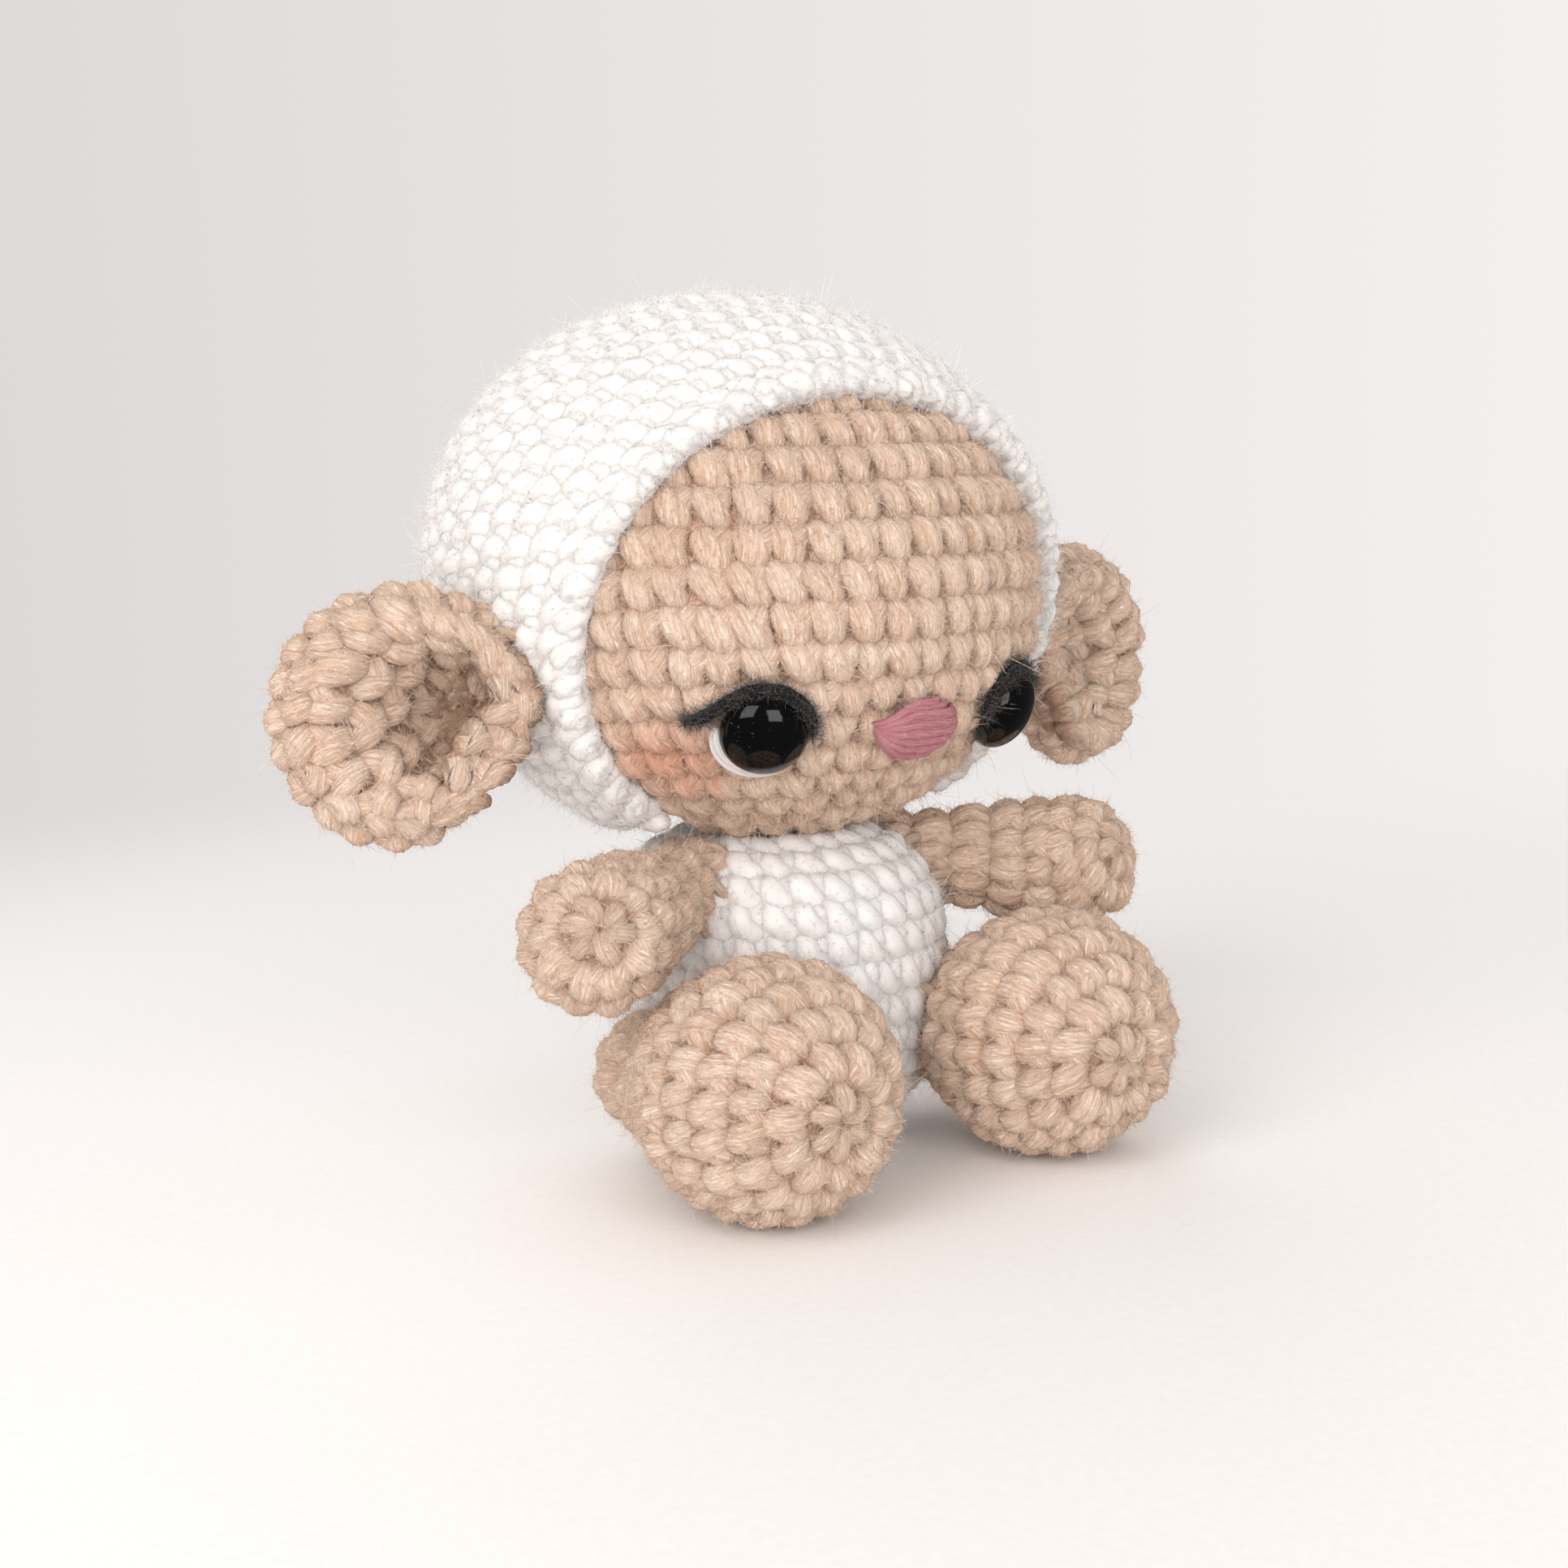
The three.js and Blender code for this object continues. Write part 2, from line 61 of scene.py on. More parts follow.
# ring is the way that the first round of a paw or foot faces in the photograph
LIMBS = {
    "arm": {"root": (15.2, -8.0, 33.0), "tip": (33.2, -19.3, 30.8), "radii": (5.5, 8.3),
            "ring": (0.38, -0.87, 0.32), "hairs": 18000, "sewing": 9},
    "leg": {"root": (20.0, -8.0, 11.5), "tip": (19.5, -31.0, 14.0), "radii": (7.4, 14.5),
            "ring": (-0.05, -1.0, -0.07), "hairs": 36000, "sewing": 14},
}
EAR_CENTRE = np.array([47.0, -4.0 + SHIFT_Y, 54.8])
EAR_WIDTH, EAR_HEIGHT, EAR_FRONT, EAR_BACK, EAR_TURN = 28.4, 28.6, 4.3, 7.5, 20.0
TAIL_RADIUS, TAIL_HEIGHT, TAIL_TILT = 4.6, 9.0, -70
TAIL_CENTRE = np.array([0.0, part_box("tail")[1][1] * 1000 - TAIL_RADIUS, TAIL_HEIGHT])
NECK_RADIUS, NECK_HEIGHT, NECK_TURNS = 8.7, 35.6, 2.4

# The yarn: a worsted single crochet stitch is 4.2 mm wide and 4.5 mm high
STITCH_WIDE, STITCH_HIGH, YARN_RADIUS = 4.2, 4.5, 1.6
PLIES, PLY_TURN, PLY_START, GIRTH = 6, 20.0, 4.5, 7.2
STITCH_RING, STRAND_RING, FLATNESS = 12, 10, 0.82
GROUND_DEPTH, GROUND_THICK, GROUND_PAINTED_SHADE = 1.3, 0.7, 0.05
GROUND_ROWS, GROUND_COLUMNS = 60, 96
PRESSED = 1.3
HAIRS_IN_A_LOT = 36000


def unit(vectors):
    return vectors / np.maximum(np.linalg.norm(vectors, axis=-1, keepdims=True), 1e-9)


def smooth(value):
    value = np.clip(value, 0, 1)
    return value * value * (3 - 2 * value)


def angles_round(count):
    return np.linspace(0, 2 * math.pi, count + 1)[:-1]


def turn_about(axis, degrees):
    return np.array(Matrix.Rotation(math.radians(degrees), 3, Vector(axis)))


def way_to(azimuth, elevation):
    """The direction from the lamb for an azimuth and an elevation in degrees. Azimuth 0 is ahead."""
    turn, rise = math.radians(azimuth), math.radians(elevation)
    return np.array([math.sin(turn) * math.cos(rise), -math.cos(turn) * math.cos(rise), math.sin(rise)])


def through(knots, count):
    """A smooth line through the knots, as evenly numbered points."""
    knots = np.array(knots, float)
    ends = np.vstack([2 * knots[:1] - knots[1:2], knots, 2 * knots[-1:] - knots[-2:-1]])
    at = np.linspace(0, len(knots) - 1, count)
    index = np.minimum(at.astype(int), len(knots) - 2)
    part = (at - index)[:, None]
    a, b, c, d = (ends[index + shift] for shift in range(4))
    return 0.5 * (2 * b + (c - a) * part + (2 * a - 5 * b + 4 * c - d) * part ** 2
                  + (3 * b - a - 3 * c + d) * part ** 3)


# The forms: each gives a point for an angle round the form and a distance down its rounds

def head_point(azimuth, latitude):
    """Azimuth 0 is the middle of the face, latitude 0 the widest round."""
    height = HEAD_HALF * np.sin(latitude)
    reach = HEAD_RADIUS * np.cos(latitude)
    return HEAD_CENTRE + np.stack(
        [reach * np.sin(azimuth), HEAD_LEAN * height - reach * np.cos(azimuth), height], -1)


def head_level(points, grow):
    """Less than 1 inside the head form grown by so many millimetres, and more outside it."""
    local = points - HEAD_CENTRE
    ahead = local[..., 1] - HEAD_LEAN * local[..., 2]
    spread = (local[..., 0] ** 2 + ahead ** 2) / (HEAD_RADIUS + grow) ** 2
    return spread + local[..., 2] ** 2 / (HEAD_HALF + grow) ** 2


def body_level(points, grow):
    """The same for the body form."""
    rise = points[..., 2] - BODY_MIDDLE
    half = np.where(rise < 0, BODY_MIDDLE + FLOOR_CUT, BODY_TOP - BODY_MIDDLE) + grow
    reach = np.hypot(points[..., 0], points[..., 1] - BODY_AXIS_Y) / (BODY_RADIUS + grow)
    return reach ** SQUARENESS + np.abs(rise / half) ** SQUARENESS


def clear_of(level, grow):
    """A test of points: True outside the head or body form grown by so many millimetres."""
    return lambda points: level(points, grow) >= 1


def way_out(level, point, grow):
    """The direction straight out of the head or body at a point."""
    return unit(np.array([level(point + step, grow) - level(point - step, grow)
                          for step in 0.05 * np.eye(3)]))


FACE_NORMAL = np.array([0, -math.cos(math.radians(FACE_TILT)), -math.sin(math.radians(FACE_TILT))])
FACE_ROUND, BONNET_ROUND, BODY_ROUND = 33.0, 36.0, 21.0


def ahead_of_face(points):
    """How far a point lies in front of the slanting plane where the bonnet ends."""
    return (points - HEAD_CENTRE) @ FACE_NORMAL - FACE_DEPTH


def face_form(around, down):
    """The beige ball: level rounds worked down from the crown."""
    return head_point(around, math.pi / 2 - down / FACE_ROUND)


def head_shape(grow):
    """The matrix that turns a unit ball into the head form."""
    spread, half = HEAD_RADIUS + grow, HEAD_HALF + grow
    return np.array([[spread, 0, 0], [0, spread, HEAD_LEAN * half], [0, 0, half]])


BONNET_POLE = head_shape(BONNET_OUT).T @ FACE_NORMAL
BONNET_EDGE = BONNET_ROUND * math.acos(FACE_DEPTH / np.linalg.norm(BONNET_POLE))
HEM_ROLL, HEM_BEND, HEM_RADIUS, HEM_SINK = 4.2, 1.9, 1.7, 0.4


def bonnet_form(around, back):
    """The white cap: rounds parallel to the face opening. The first one rolls over the hem
    from the beige fabric, and the rest go on to the back of the head."""
    pole = unit(BONNET_POLE)
    across = np.array([1.0, 0, 0])
    upward = np.cross(across, pole)
    angle = np.maximum(back, BONNET_EDGE) / BONNET_ROUND
    local = (np.cos(angle)[..., None] * pole
             + (np.sin(angle) * np.cos(around))[..., None] * across
             + (np.sin(angle) * np.sin(around))[..., None] * upward)
    rolled = HEM_BEND * np.maximum(BONNET_EDGE - back, 0) / HEM_ROLL
    drop = (BONNET_OUT + HEM_SINK) * (1 - np.cos(rolled))
    surface = local @ head_shape(BONNET_OUT).T
    inward = unit(local) * drop[..., None]
    return HEAD_CENTRE + surface - inward + FACE_NORMAL * (HEM_RADIUS * np.sin(rolled))[..., None]


def body_form(around, down):
    """The white egg: level rounds from the neck to the seat."""
    angle = math.pi / 2 - down / BODY_ROUND
    up, low = BODY_TOP - BODY_MIDDLE, BODY_MIDDLE + FLOOR_CUT
    power = 2 / SQUARENESS
    height = np.where(angle > 0, up, -low) * np.abs(np.sin(angle)) ** power
    reach = BODY_RADIUS * np.maximum(np.cos(angle), 0) ** power
    return np.stack([reach * np.sin(around), BODY_AXIS_Y - reach * np.cos(around),
                     BODY_MIDDLE + height], -1)


def limb_end(kind, end, side):
    return np.array(LIMBS[kind][end]) * [side, 1, 1] + [0, SHIFT_Y, 0]


SWING_START, SWING_SPAN, SWING_END, ROOT_SHORT = 0.4, 2.5, 2.9, 0.4


def limb_form(kind, side):
    """A limb: rounds from the ring at its tip, over the ball, up the narrowing tube and round its
    root. Also gives how far the rounds go."""
    root, tip = limb_end(kind, "root", side), limb_end(kind, "tip", side)
    thin, thick = LIMBS[kind]["radii"]
    length = np.linalg.norm(tip - root)
    axis = (tip - root) / length
    ring = unit(np.array(LIMBS[kind]["ring"]) * [side, 1, 1])
    lean_axis = unit(np.cross(axis, ring))
    lean = math.acos(float(np.clip(axis @ ring, -1, 1)))
    east = unit(np.cross(UPWARD, axis))
    basis = np.stack([east, np.cross(axis, east), axis], 1)

    def form(around, down):
        polar = down / thick
        start = np.stack([np.sin(polar) * np.cos(around), np.sin(polar) * np.sin(around), np.cos(polar)], -1)
        start = start @ basis.T
        # The rounds lie square to the ring at the tip and to the tube at the body
        turn = (lean * (1 - smooth((polar - SWING_START) / SWING_SPAN)))[..., None]
        swung = (start * np.cos(turn) + np.cross(lean_axis, start) * np.sin(turn)
                 + lean_axis * (start @ lean_axis)[..., None] * (1 - np.cos(turn)))
        local = swung @ basis
        straight = polar > SWING_END
        polar_now = np.where(straight, polar, np.arccos(np.clip(local[..., 2], -1, 1)))
        around_now = np.where(straight, around, np.arctan2(local[..., 1], local[..., 0]))
        back = thick * np.maximum(polar_now - math.pi / 2, 0)
        swell = smooth(1 - back / length)
        root_angle = np.clip((back - length) / thin, 0, math.pi / 2)
        reach = np.where(polar_now < math.pi / 2, thick * np.sin(polar_now),
                         (thin + (thick - thin) * swell) * np.cos(root_angle))
        height = np.where(polar_now < math.pi / 2, thick * np.cos(polar_now),
                          -np.minimum(back, length) - thin * np.sin(root_angle))
        flat = np.stack([reach * np.cos(around_now), reach * np.sin(around_now), height], -1)
        return tip + flat @ basis.T

    return form, (thick + thin) * math.pi / 2 + length - ROOT_SHORT


# The ear's hollow: distance from the middle, depth, and how far its middle shifts to the head
EAR_HOLLOW = [(12.0, -4.6, 0.6), (9.9, -4.9, 1.9), (8.0, -4.0, 3.2), (6.6, -2.2, 4.3), (5.3, 0.1, 5.0),
              (3.6, 2.3, 5.4), (1.8, 3.5, 5.6), (0.3, 3.9, 5.7)]
EAR_FULLNESS = 0.8


def ear_form(side):
    """A cup: from the middle of its back, over the rim and down into the hollow."""
    rows = []
    for angle in np.radians(np.linspace(90, -30, 13)):
        reach = max(math.cos(angle), 0) ** EAR_FULLNESS
        height = math.copysign(abs(math.sin(angle)) ** EAR_FULLNESS, angle)
        rows.append((reach * EAR_HEIGHT / 2, height * (EAR_BACK if height > 0 else EAR_FRONT), 0.0))
    rows = through(rows + EAR_HOLLOW, 140)
    steps = np.linalg.norm(np.diff(rows[:, :2], axis=0), axis=1)
    run = np.concatenate([[0], np.cumsum(steps)])
    turn = turn_about((0, 0, 1), EAR_TURN * side)
    centre = EAR_CENTRE * [side, 1, 1]

    def form(around, down):
        reach, height, shift = (np.interp(down, run, rows[:, column]) for column in range(3))
        out_by, up = reach * np.cos(around) * side * EAR_WIDTH / EAR_HEIGHT, reach * np.sin(around)
        # Sewn on above its middle, the cup is drawn in below there on the side of the head
        drawn = 1 - 0.34 * smooth((1.0 - up) / 6) * smooth(-out_by / 3)
        flat = np.stack([(out_by * drawn - shift) * side, height, up], -1)
        return centre + flat @ turn.T

    return form, run[-1]


def tail_form(around, down):
    """A small ball of rounds worked from its tip."""
    angle = down / TAIL_RADIUS
    local = TAIL_RADIUS * np.stack([np.sin(angle) * np.cos(around), np.sin(angle) * np.sin(around),
                                    np.cos(angle)], -1)
    return TAIL_CENTRE + local @ turn_about((1, 0, 0), TAIL_TILT).T


def out_of_fabric(form, around, down, flip=1.0):
    """The points of a form and the ways out of its fabric there."""
    point = form(around, down)
    east = form(around + 0.01, down) - form(around - 0.01, down)
    south = form(around, down + 0.05) - form(around, np.maximum(down - 0.05, 0.001))
    return point, unit(np.cross(south, east)) * flip


# The stitches: middle lines of the two legs of a stitch, which cross low in it: share of the stitch's
# width, share of its height, and millimetres out of the fabric. The left leg lies over the right.
LEFT_LEG = [(0.20, -0.16, -2.1), (0.15, 0.12, -0.25), (-0.01, 0.45, 0.60), (-0.22, 0.76, 0.32),
            (-0.40, 1.03, -1.7)]
RIGHT_LEG = [(-0.10, -0.15, -2.2), (-0.06, 0.14, -0.55), (0.12, 0.48, 0.10), (0.32, 0.78, 0.25),
             (0.46, 1.02, -1.6)]
LEFT_PLUMP, RIGHT_PLUMP, MEAN_PLUMP = 1.04, 0.98, 1.06
# How far hand work strays: its plumpness, its slant, its place across and down the round as shares
# of a stitch, and its height in millimetres
STRAYS = [0.07, 0.16, 0.055, 0.03, 0.08]
ROUND_SPOTS, ROUND_TURNS, ROUND_STEPS, FEWEST_STITCHES = 200, 48, 96, 6


def lay_rounds(form, start, stop, rng, high, wide):
    """Places for whole stitches, round by round: angle, distance, width and height of each."""
    spots, turns = np.linspace(start, stop, ROUND_SPOTS), angles_round(ROUND_TURNS)
    lines = form(turns[None, :] + 0 * spots[:, None], spots[:, None] + 0 * turns[None, :])
    run = np.concatenate([[0], np.cumsum(np.linalg.norm(np.diff(lines, axis=0), axis=2).mean(axis=1))])
    rounds = max(1, round(run[-1] / high))
    edges = np.interp(np.linspace(0, run[-1], rounds + 1), run, spots)
    whole = np.linspace(0, 2 * math.pi, ROUND_STEPS + 1)
    places = []
    for top, bottom in zip(edges[:-1], edges[1:]):
        ring = form(whole, np.full(ROUND_STEPS + 1, (top + bottom) / 2))
        steps = np.linalg.norm(np.diff(ring, axis=0), axis=1)
        girth = np.concatenate([[0], np.cumsum(steps)])
        count = max(FEWEST_STITCHES, round(girth[-1] / wide))
        at = (np.arange(count) + rng.uniform(0, 1)) * girth[-1] / count % girth[-1]
        angles = np.interp(at, girth, whole)
        evened = np.interp(angles, np.linspace(0, 2 * math.pi, ROUND_STEPS), np.mean(steps) / steps)
        for angle, width in zip(angles, 2 * math.pi / count * evened):
            places.append((angle, top, width, bottom - top))
    return np.array(places)


def tube_faces(strands, points, ring):
    """Quads of every tube and the closing faces at its ends."""
    base = (np.arange(strands) * points * ring)[:, None, None]
    row = (np.arange(points - 1) * ring)[None, :, None]
    here = np.arange(ring)[None, None, :]
    after = (here + 1) % ring
    quads = np.stack([base + row + here, base + row + after, base + row + ring + after,
                      base + row + ring + here], -1)
    first = base[:, 0] + np.arange(ring)[None, ::-1]
    last = base[:, 0] + (points - 1) * ring + np.arange(ring)[None, :]
    return [quads.reshape(-1, 4), np.concatenate([first, last])]


def strand_tubes(lines, outward, radii, tones, opened, ring):
    """Plump plied strands round middle lines: points, faces, and what the material reads. lines is
    strands x points x 3, outward the fabric's own direction there, opened each point's height."""
    strands, points, _ = lines.shape
    ahead = unit(np.gradient(lines, axis=1))
    beside = unit(np.cross(ahead, outward))
    lift = np.cross(beside, ahead)
    steps = np.linalg.norm(np.diff(lines, axis=1), axis=2)
    run = np.concatenate([np.zeros((strands, 1)), np.cumsum(steps, axis=1)], axis=1)[:, :, None]
    around = np.linspace(-math.pi, math.pi, ring + 1)[:-1]
    twist = PLIES * around / 2 - run * math.pi * PLIES / PLY_TURN + PLY_START * tones[:, None, None]
    size = radii[:, :, None] * (0.97 + 0.05 * np.abs(np.cos(twist)))
    shell = (lines[:, :, None, :]
             + (size * np.cos(around) * FLATNESS)[..., None] * lift[:, :, None, :]
             + (size * np.sin(around))[..., None] * beside[:, :, None, :])
    # open is the height in the stitch, from which the material paints shade
    reads = {"along": run, "around": np.linspace(0, 1, ring + 1)[:-1], "tone": tones[:, None, None],
             "open": opened[:, None]}
    reads = {label: np.broadcast_to(values, size.shape).ravel() for label, values in reads.items()}
    return shell.reshape(-1, 3), tube_faces(strands, points, ring), reads


def ways_off_tubes(shell, ring):
    """The way straight off its tube at each point."""
    rings = shell.reshape(-1, ring, 3)
    return unit(rings - rings.mean(axis=1, keepdims=True)).reshape(-1, 3)


def put_in_scene(name, data):
    thing = bpy.data.objects.new(name, data)
    bpy.context.scene.collection.objects.link(thing)
    return thing


def make_mesh(name, points, face_sets, reads):
    """A mesh from arrays: points in millimetres, sets of faces, and values the material reads.
    Yarn that would go through the floor is pressed flat on it."""
    low = np.minimum(points[:, 2], PRESSED)
    points = points + UPWARD * (PRESSED * np.exp((low - PRESSED) / PRESSED) - low)[:, None]
    mesh = bpy.data.meshes.new(name)
    mesh.vertices.add(len(points))
    mesh.vertices.foreach_set("co", (points * MM).astype(np.float32).ravel())
    corners = np.concatenate([faces.ravel() for faces in face_sets])
    sizes = np.concatenate([np.full(len(faces), faces.shape[1]) for faces in face_sets])
    mesh.loops.add(len(corners))
    mesh.loops.foreach_set("vertex_index", corners.astype(np.int32))
    mesh.polygons.add(len(sizes))
    mesh.polygons.foreach_set("loop_start", np.concatenate([[0], np.cumsum(sizes)[:-1]]).astype(np.int32))
    mesh.polygons.foreach_set("use_smooth", np.full(len(sizes), True))
    mesh.update(calc_edges=True)
    for label, values in reads.items():
        mesh.attributes.new(label, "FLOAT", "POINT").data.foreach_set("value", np.asarray(values, np.float32))
    mesh.validate()
    return put_in_scene(name, mesh)


def crochet(form, start, stop, seed, keep, inner, points=10, high=STITCH_HIGH, wide=STITCH_WIDE,
            radius=YARN_RADIUS, sink=0.0, relief=1.0, uneven=1.0, lean=1.0):
    """Single crochet over a form, two crossing legs for every stitch: points, faces, what the
    material reads, and which way the form's fabric faces. keep tests where stitches stay, and
    inner is a point inside the form."""
    rng = np.random.default_rng(seed)
    places = lay_rounds(form, start, stop, rng, high, wide)
    probe, way = out_of_fabric(form, np.zeros(1), np.full(1, start + 0.5 * high))
    flip = -1.0 if way[0] @ (probe[0] - inner) < 0 else 1.0
    places = places[keep(form(places[:, 0], places[:, 1] + places[:, 3] / 2))]
    jitter = uneven * rng.normal(0, 1, (len(places), 6))
    plumper, slanted, aside, earlier, prouder = (jitter[:, :5] * STRAYS).T[:, :, None]
    half, middle = places[:, 2] / 2, places[:, 1] + places[:, 3] / 2
    breadth = np.linalg.norm(form(places[:, 0] + half, middle) - form(places[:, 0] - half, middle), axis=1)
    room = np.clip(breadth / wide, 0.6, 1.05)
    share = np.linspace(0, 1, points)
    swell = (0.5 + 0.5 * np.sin(math.pi * share ** 0.85) ** 0.8)[None, :]
    lines, outs, radii = [], [], []
    for knots, plump in ((LEFT_LEG, LEFT_PLUMP), (RIGHT_LEG, RIGHT_PLUMP)):
        leg = through(knots, points)
        across = lean * leg[None, :, 0] + slanted * (leg[:, 1] - 0.5) + aside
        # Rounds are worked downwards, so a stitch stands on the later round
        down = 1 - leg[None, :, 1] - earlier
        angle = places[:, 0, None] + flip * across * places[:, 2, None]
        distance = np.maximum(places[:, 1, None] + down * places[:, 3, None], 0.35)
        point, out = out_of_fabric(form, angle, distance, flip)
        rise = relief * leg[None, :, 2] * radius / YARN_RADIUS - FLATNESS * radius - sink + prouder
        lines.append(point + out * rise[..., None])
        outs.append(out)
        radii.append(radius * plump * (MEAN_PLUMP + plumper) * swell * room[:, None])
    tones = np.tile(rng.uniform(0, 1, len(places)), 2)
    # Each leg is lighter in its middle and gets painted shade towards its ends, where it goes under others
    shell, faces, reads = strand_tubes(np.concatenate(lines), np.concatenate(outs), np.concatenate(radii),
                                       tones, np.sin(math.pi * share), STITCH_RING)
    return shell, faces, reads, flip


def all_over(form, start, stop, rows, columns, flip=1.0):
    """Points in rows all over a form, and the ways out of its fabric there."""
    angle, distance = np.meshgrid(angles_round(columns), np.linspace(start, stop, rows))
    return out_of_fabric(form, angle, distance, flip)


def fabric_ground(form, start, stop, flip, keep, depth):
    """The back of the fabric that shows between stitches: a thin closed layer in painted dark shade."""
    point, out = all_over(form, start + 0.3, stop, GROUND_ROWS, GROUND_COLUMNS, flip)
    outer = (point - out * depth).reshape(-1, 3)
    inner = (point - out * (depth + GROUND_THICK)).reshape(-1, 3)
    quads = tube_faces(1, GROUND_ROWS, GROUND_COLUMNS)[0]
    quads = quads[keep(outer[quads].mean(axis=1))]
    if flip > 0:
        quads = quads[:, ::-1]
    edges = np.concatenate([quads[:, [side, (side + 1) % 4]] for side in range(4)])
    known = set(map(tuple, edges))
    rim = np.array([edge for edge in edges if (edge[1], edge[0]) not in known])
    total = len(outer)
    sides = np.stack([rim[:, 1], rim[:, 0], rim[:, 0] + total, rim[:, 1] + total], -1)
    faces = np.concatenate([quads, quads[:, ::-1] + total, sides])
    points = np.concatenate([outer, inner])
    used = np.unique(faces)
    fresh = np.full(len(points), -1)
    fresh[used] = np.arange(len(used))
    return points[used], fresh[faces]


def loose_fibres(name, shell, outs, count, rng, longest=1.6, thin=0.034, steps=1, upright=0.4):
    """Fine hairs that have worked out of the yarn: three-sided, curled and drawn out to a point.
    They are made in lots, so that no mesh grows too large."""
    lots = []
    share = np.linspace(0, 1, steps + 1)
    quads = [[3 * row + side, 3 * row + (side + 1) % 3, 3 * row + 3 + (side + 1) % 3, 3 * row + 3 + side]
             for row in range(steps - 1) for side in range(3)]
    last = 3 * steps - 3
    tip = [[last + side, last + (side + 1) % 3, last + 3] for side in range(3)] + [[2, 1, 0]]
    for lot in range(math.ceil(count / HAIRS_IN_A_LOT)):
        number = min(HAIRS_IN_A_LOT, count - lot * HAIRS_IN_A_LOT)
        pick = rng.integers(0, len(shell), number)
        away = unit(outs[pick] * upright + rng.normal(0, 0.6, (number, 3)))
        away = unit(away + outs[pick] * np.maximum(0, 0.12 - (away * outs[pick]).sum(axis=1))[:, None] * 1.5)
        bend = unit(rng.normal(0, 1, (number, 3)) - 0.4 * outs[pick])
        length = (0.35 + 0.65 * rng.uniform(0, 1, number)[:, None] ** 2) * longest
        lines = np.stack([shell[pick] + away * length * t + bend * length * 0.5 * t ** 2 for t in share], 1)
        ahead = unit(np.gradient(lines, axis=1))
        beside = unit(np.cross(ahead, bend[:, None, :] + 0.3))
        lift = np.cross(beside, ahead)
        around = angles_round(3)[:, None]
        ring = np.cos(around) * lift[:, :, None, :] + np.sin(around) * beside[:, :, None, :]
        ring = (lines[:, :, None, :] + ring * (thin * (1 - 0.5 * share))[:, None, None])[:, :-1]
        points = np.concatenate([ring.reshape(number, -1, 3), lines[:, -1:]], axis=1)
        base = (np.arange(number) * (3 * steps + 1))[:, None, None]
        faces = [(base + np.array(part)).reshape(-1, len(part[0])) for part in (quads, tip) if part]
        tones = np.repeat(rng.uniform(0, 1, number), 3 * steps + 1)
        lots.append(make_mesh(f"{name}_{lot + 1}", points.reshape(-1, 3), faces, {"tone": tones}))
    return lots


FRIZZ_TO_A_HAIR = 40


def yarn_piece(name, form, start, stop, seed, keep, inner, fuzz, **options):
    """One crocheted piece: its stitches, the ground behind them, short frizz and a few long hairs."""
    rng = np.random.default_rng(seed + 500)
    points, faces, reads, flip = crochet(form, start, stop, seed, keep, inner, **options)
    showing = np.flatnonzero((reads["open"] > 0.3) & (np.abs(reads["around"] - 0.5) < 0.28))
    roots, outs = points[showing], ways_off_tubes(points, STITCH_RING)[showing]
    frizz = loose_fibres(name + "_frizz", roots, outs, fuzz, rng)
    hairs = loose_fibres(name + "_hairs", roots, outs, fuzz // FRIZZ_TO_A_HAIR, rng, longest=4.4, thin=0.032,
                         steps=5, upright=0.7)
    depth = options.get("sink", 0) + GROUND_DEPTH * options.get("relief", 1)
    base, base_quads = fabric_ground(form, start, stop, flip, keep, depth)
    # The ground reads as the lowest part of a stitch, so the material paints it in dark shade
    ground = {"along": base[:, 2], "around": base[:, :2].sum(axis=1) / GIRTH, "tone": np.zeros(len(base)),
              "open": np.full(len(base), GROUND_PAINTED_SHADE)}
    merged = {label: np.concatenate([reads[label], ground[label]]) for label in reads}
    fabric = make_mesh(name, np.concatenate([points, base]), [*faces, base_quads + len(points)], merged)
    return fabric, *frizz, *hairs


# Materials

def colour(code):
    """An sRGB hex colour as the linear colour that the shaders work in."""
    parts = [int(code[i:i + 2], 16) / 255 for i in (1, 3, 5)]
    return [part / 12.92 if part <= 0.04045 else ((part + 0.055) / 1.055) ** 2.4 for part in parts] + [1.0]


SUM = {"operation": "MULTIPLY_ADD"}
LARGER = {"operation": "MAXIMUM"}
COLOURS = {"data_type": "RGBA"}
EASED = {"interpolation_type": "SMOOTHSTEP"}


def add(tree, kind, settings=None, **inputs):
    """A node with its settings and what goes into it: a value, a socket, or a node, whose first
    output in use is then meant. i and a number names an input by its place."""
    node = tree.nodes.new("ShaderNode" + kind)
    for key, value in (settings or {}).items():
        setattr(node, key, value)
    for key, value in inputs.items():
        socket = node.inputs[int(key[1:]) if key[0] == "i" and key[1:].isdigit() else key.replace("_", " ")]
        if isinstance(value, bpy.types.Node):
            value = next(output for output in value.outputs if output.enabled)
        if isinstance(value, bpy.types.NodeSocket):
            tree.links.new(value, socket)
        else:
            socket.default_value = value
    return node


def new_material(name, surface, *colours, **options):
    """A material whose surface one of the functions below builds. They get its tree, and the spot
    on the lamb that their patterns follow, in metres."""
    material = bpy.data.materials.new(name)
    material.use_nodes = True
    tree = material.node_tree
    tree.nodes.clear()
    spot = add(tree, "TexCoord").outputs["Object"]
    add(tree, "OutputMaterial", Surface=surface(tree, spot, *colours, **options))
    return material


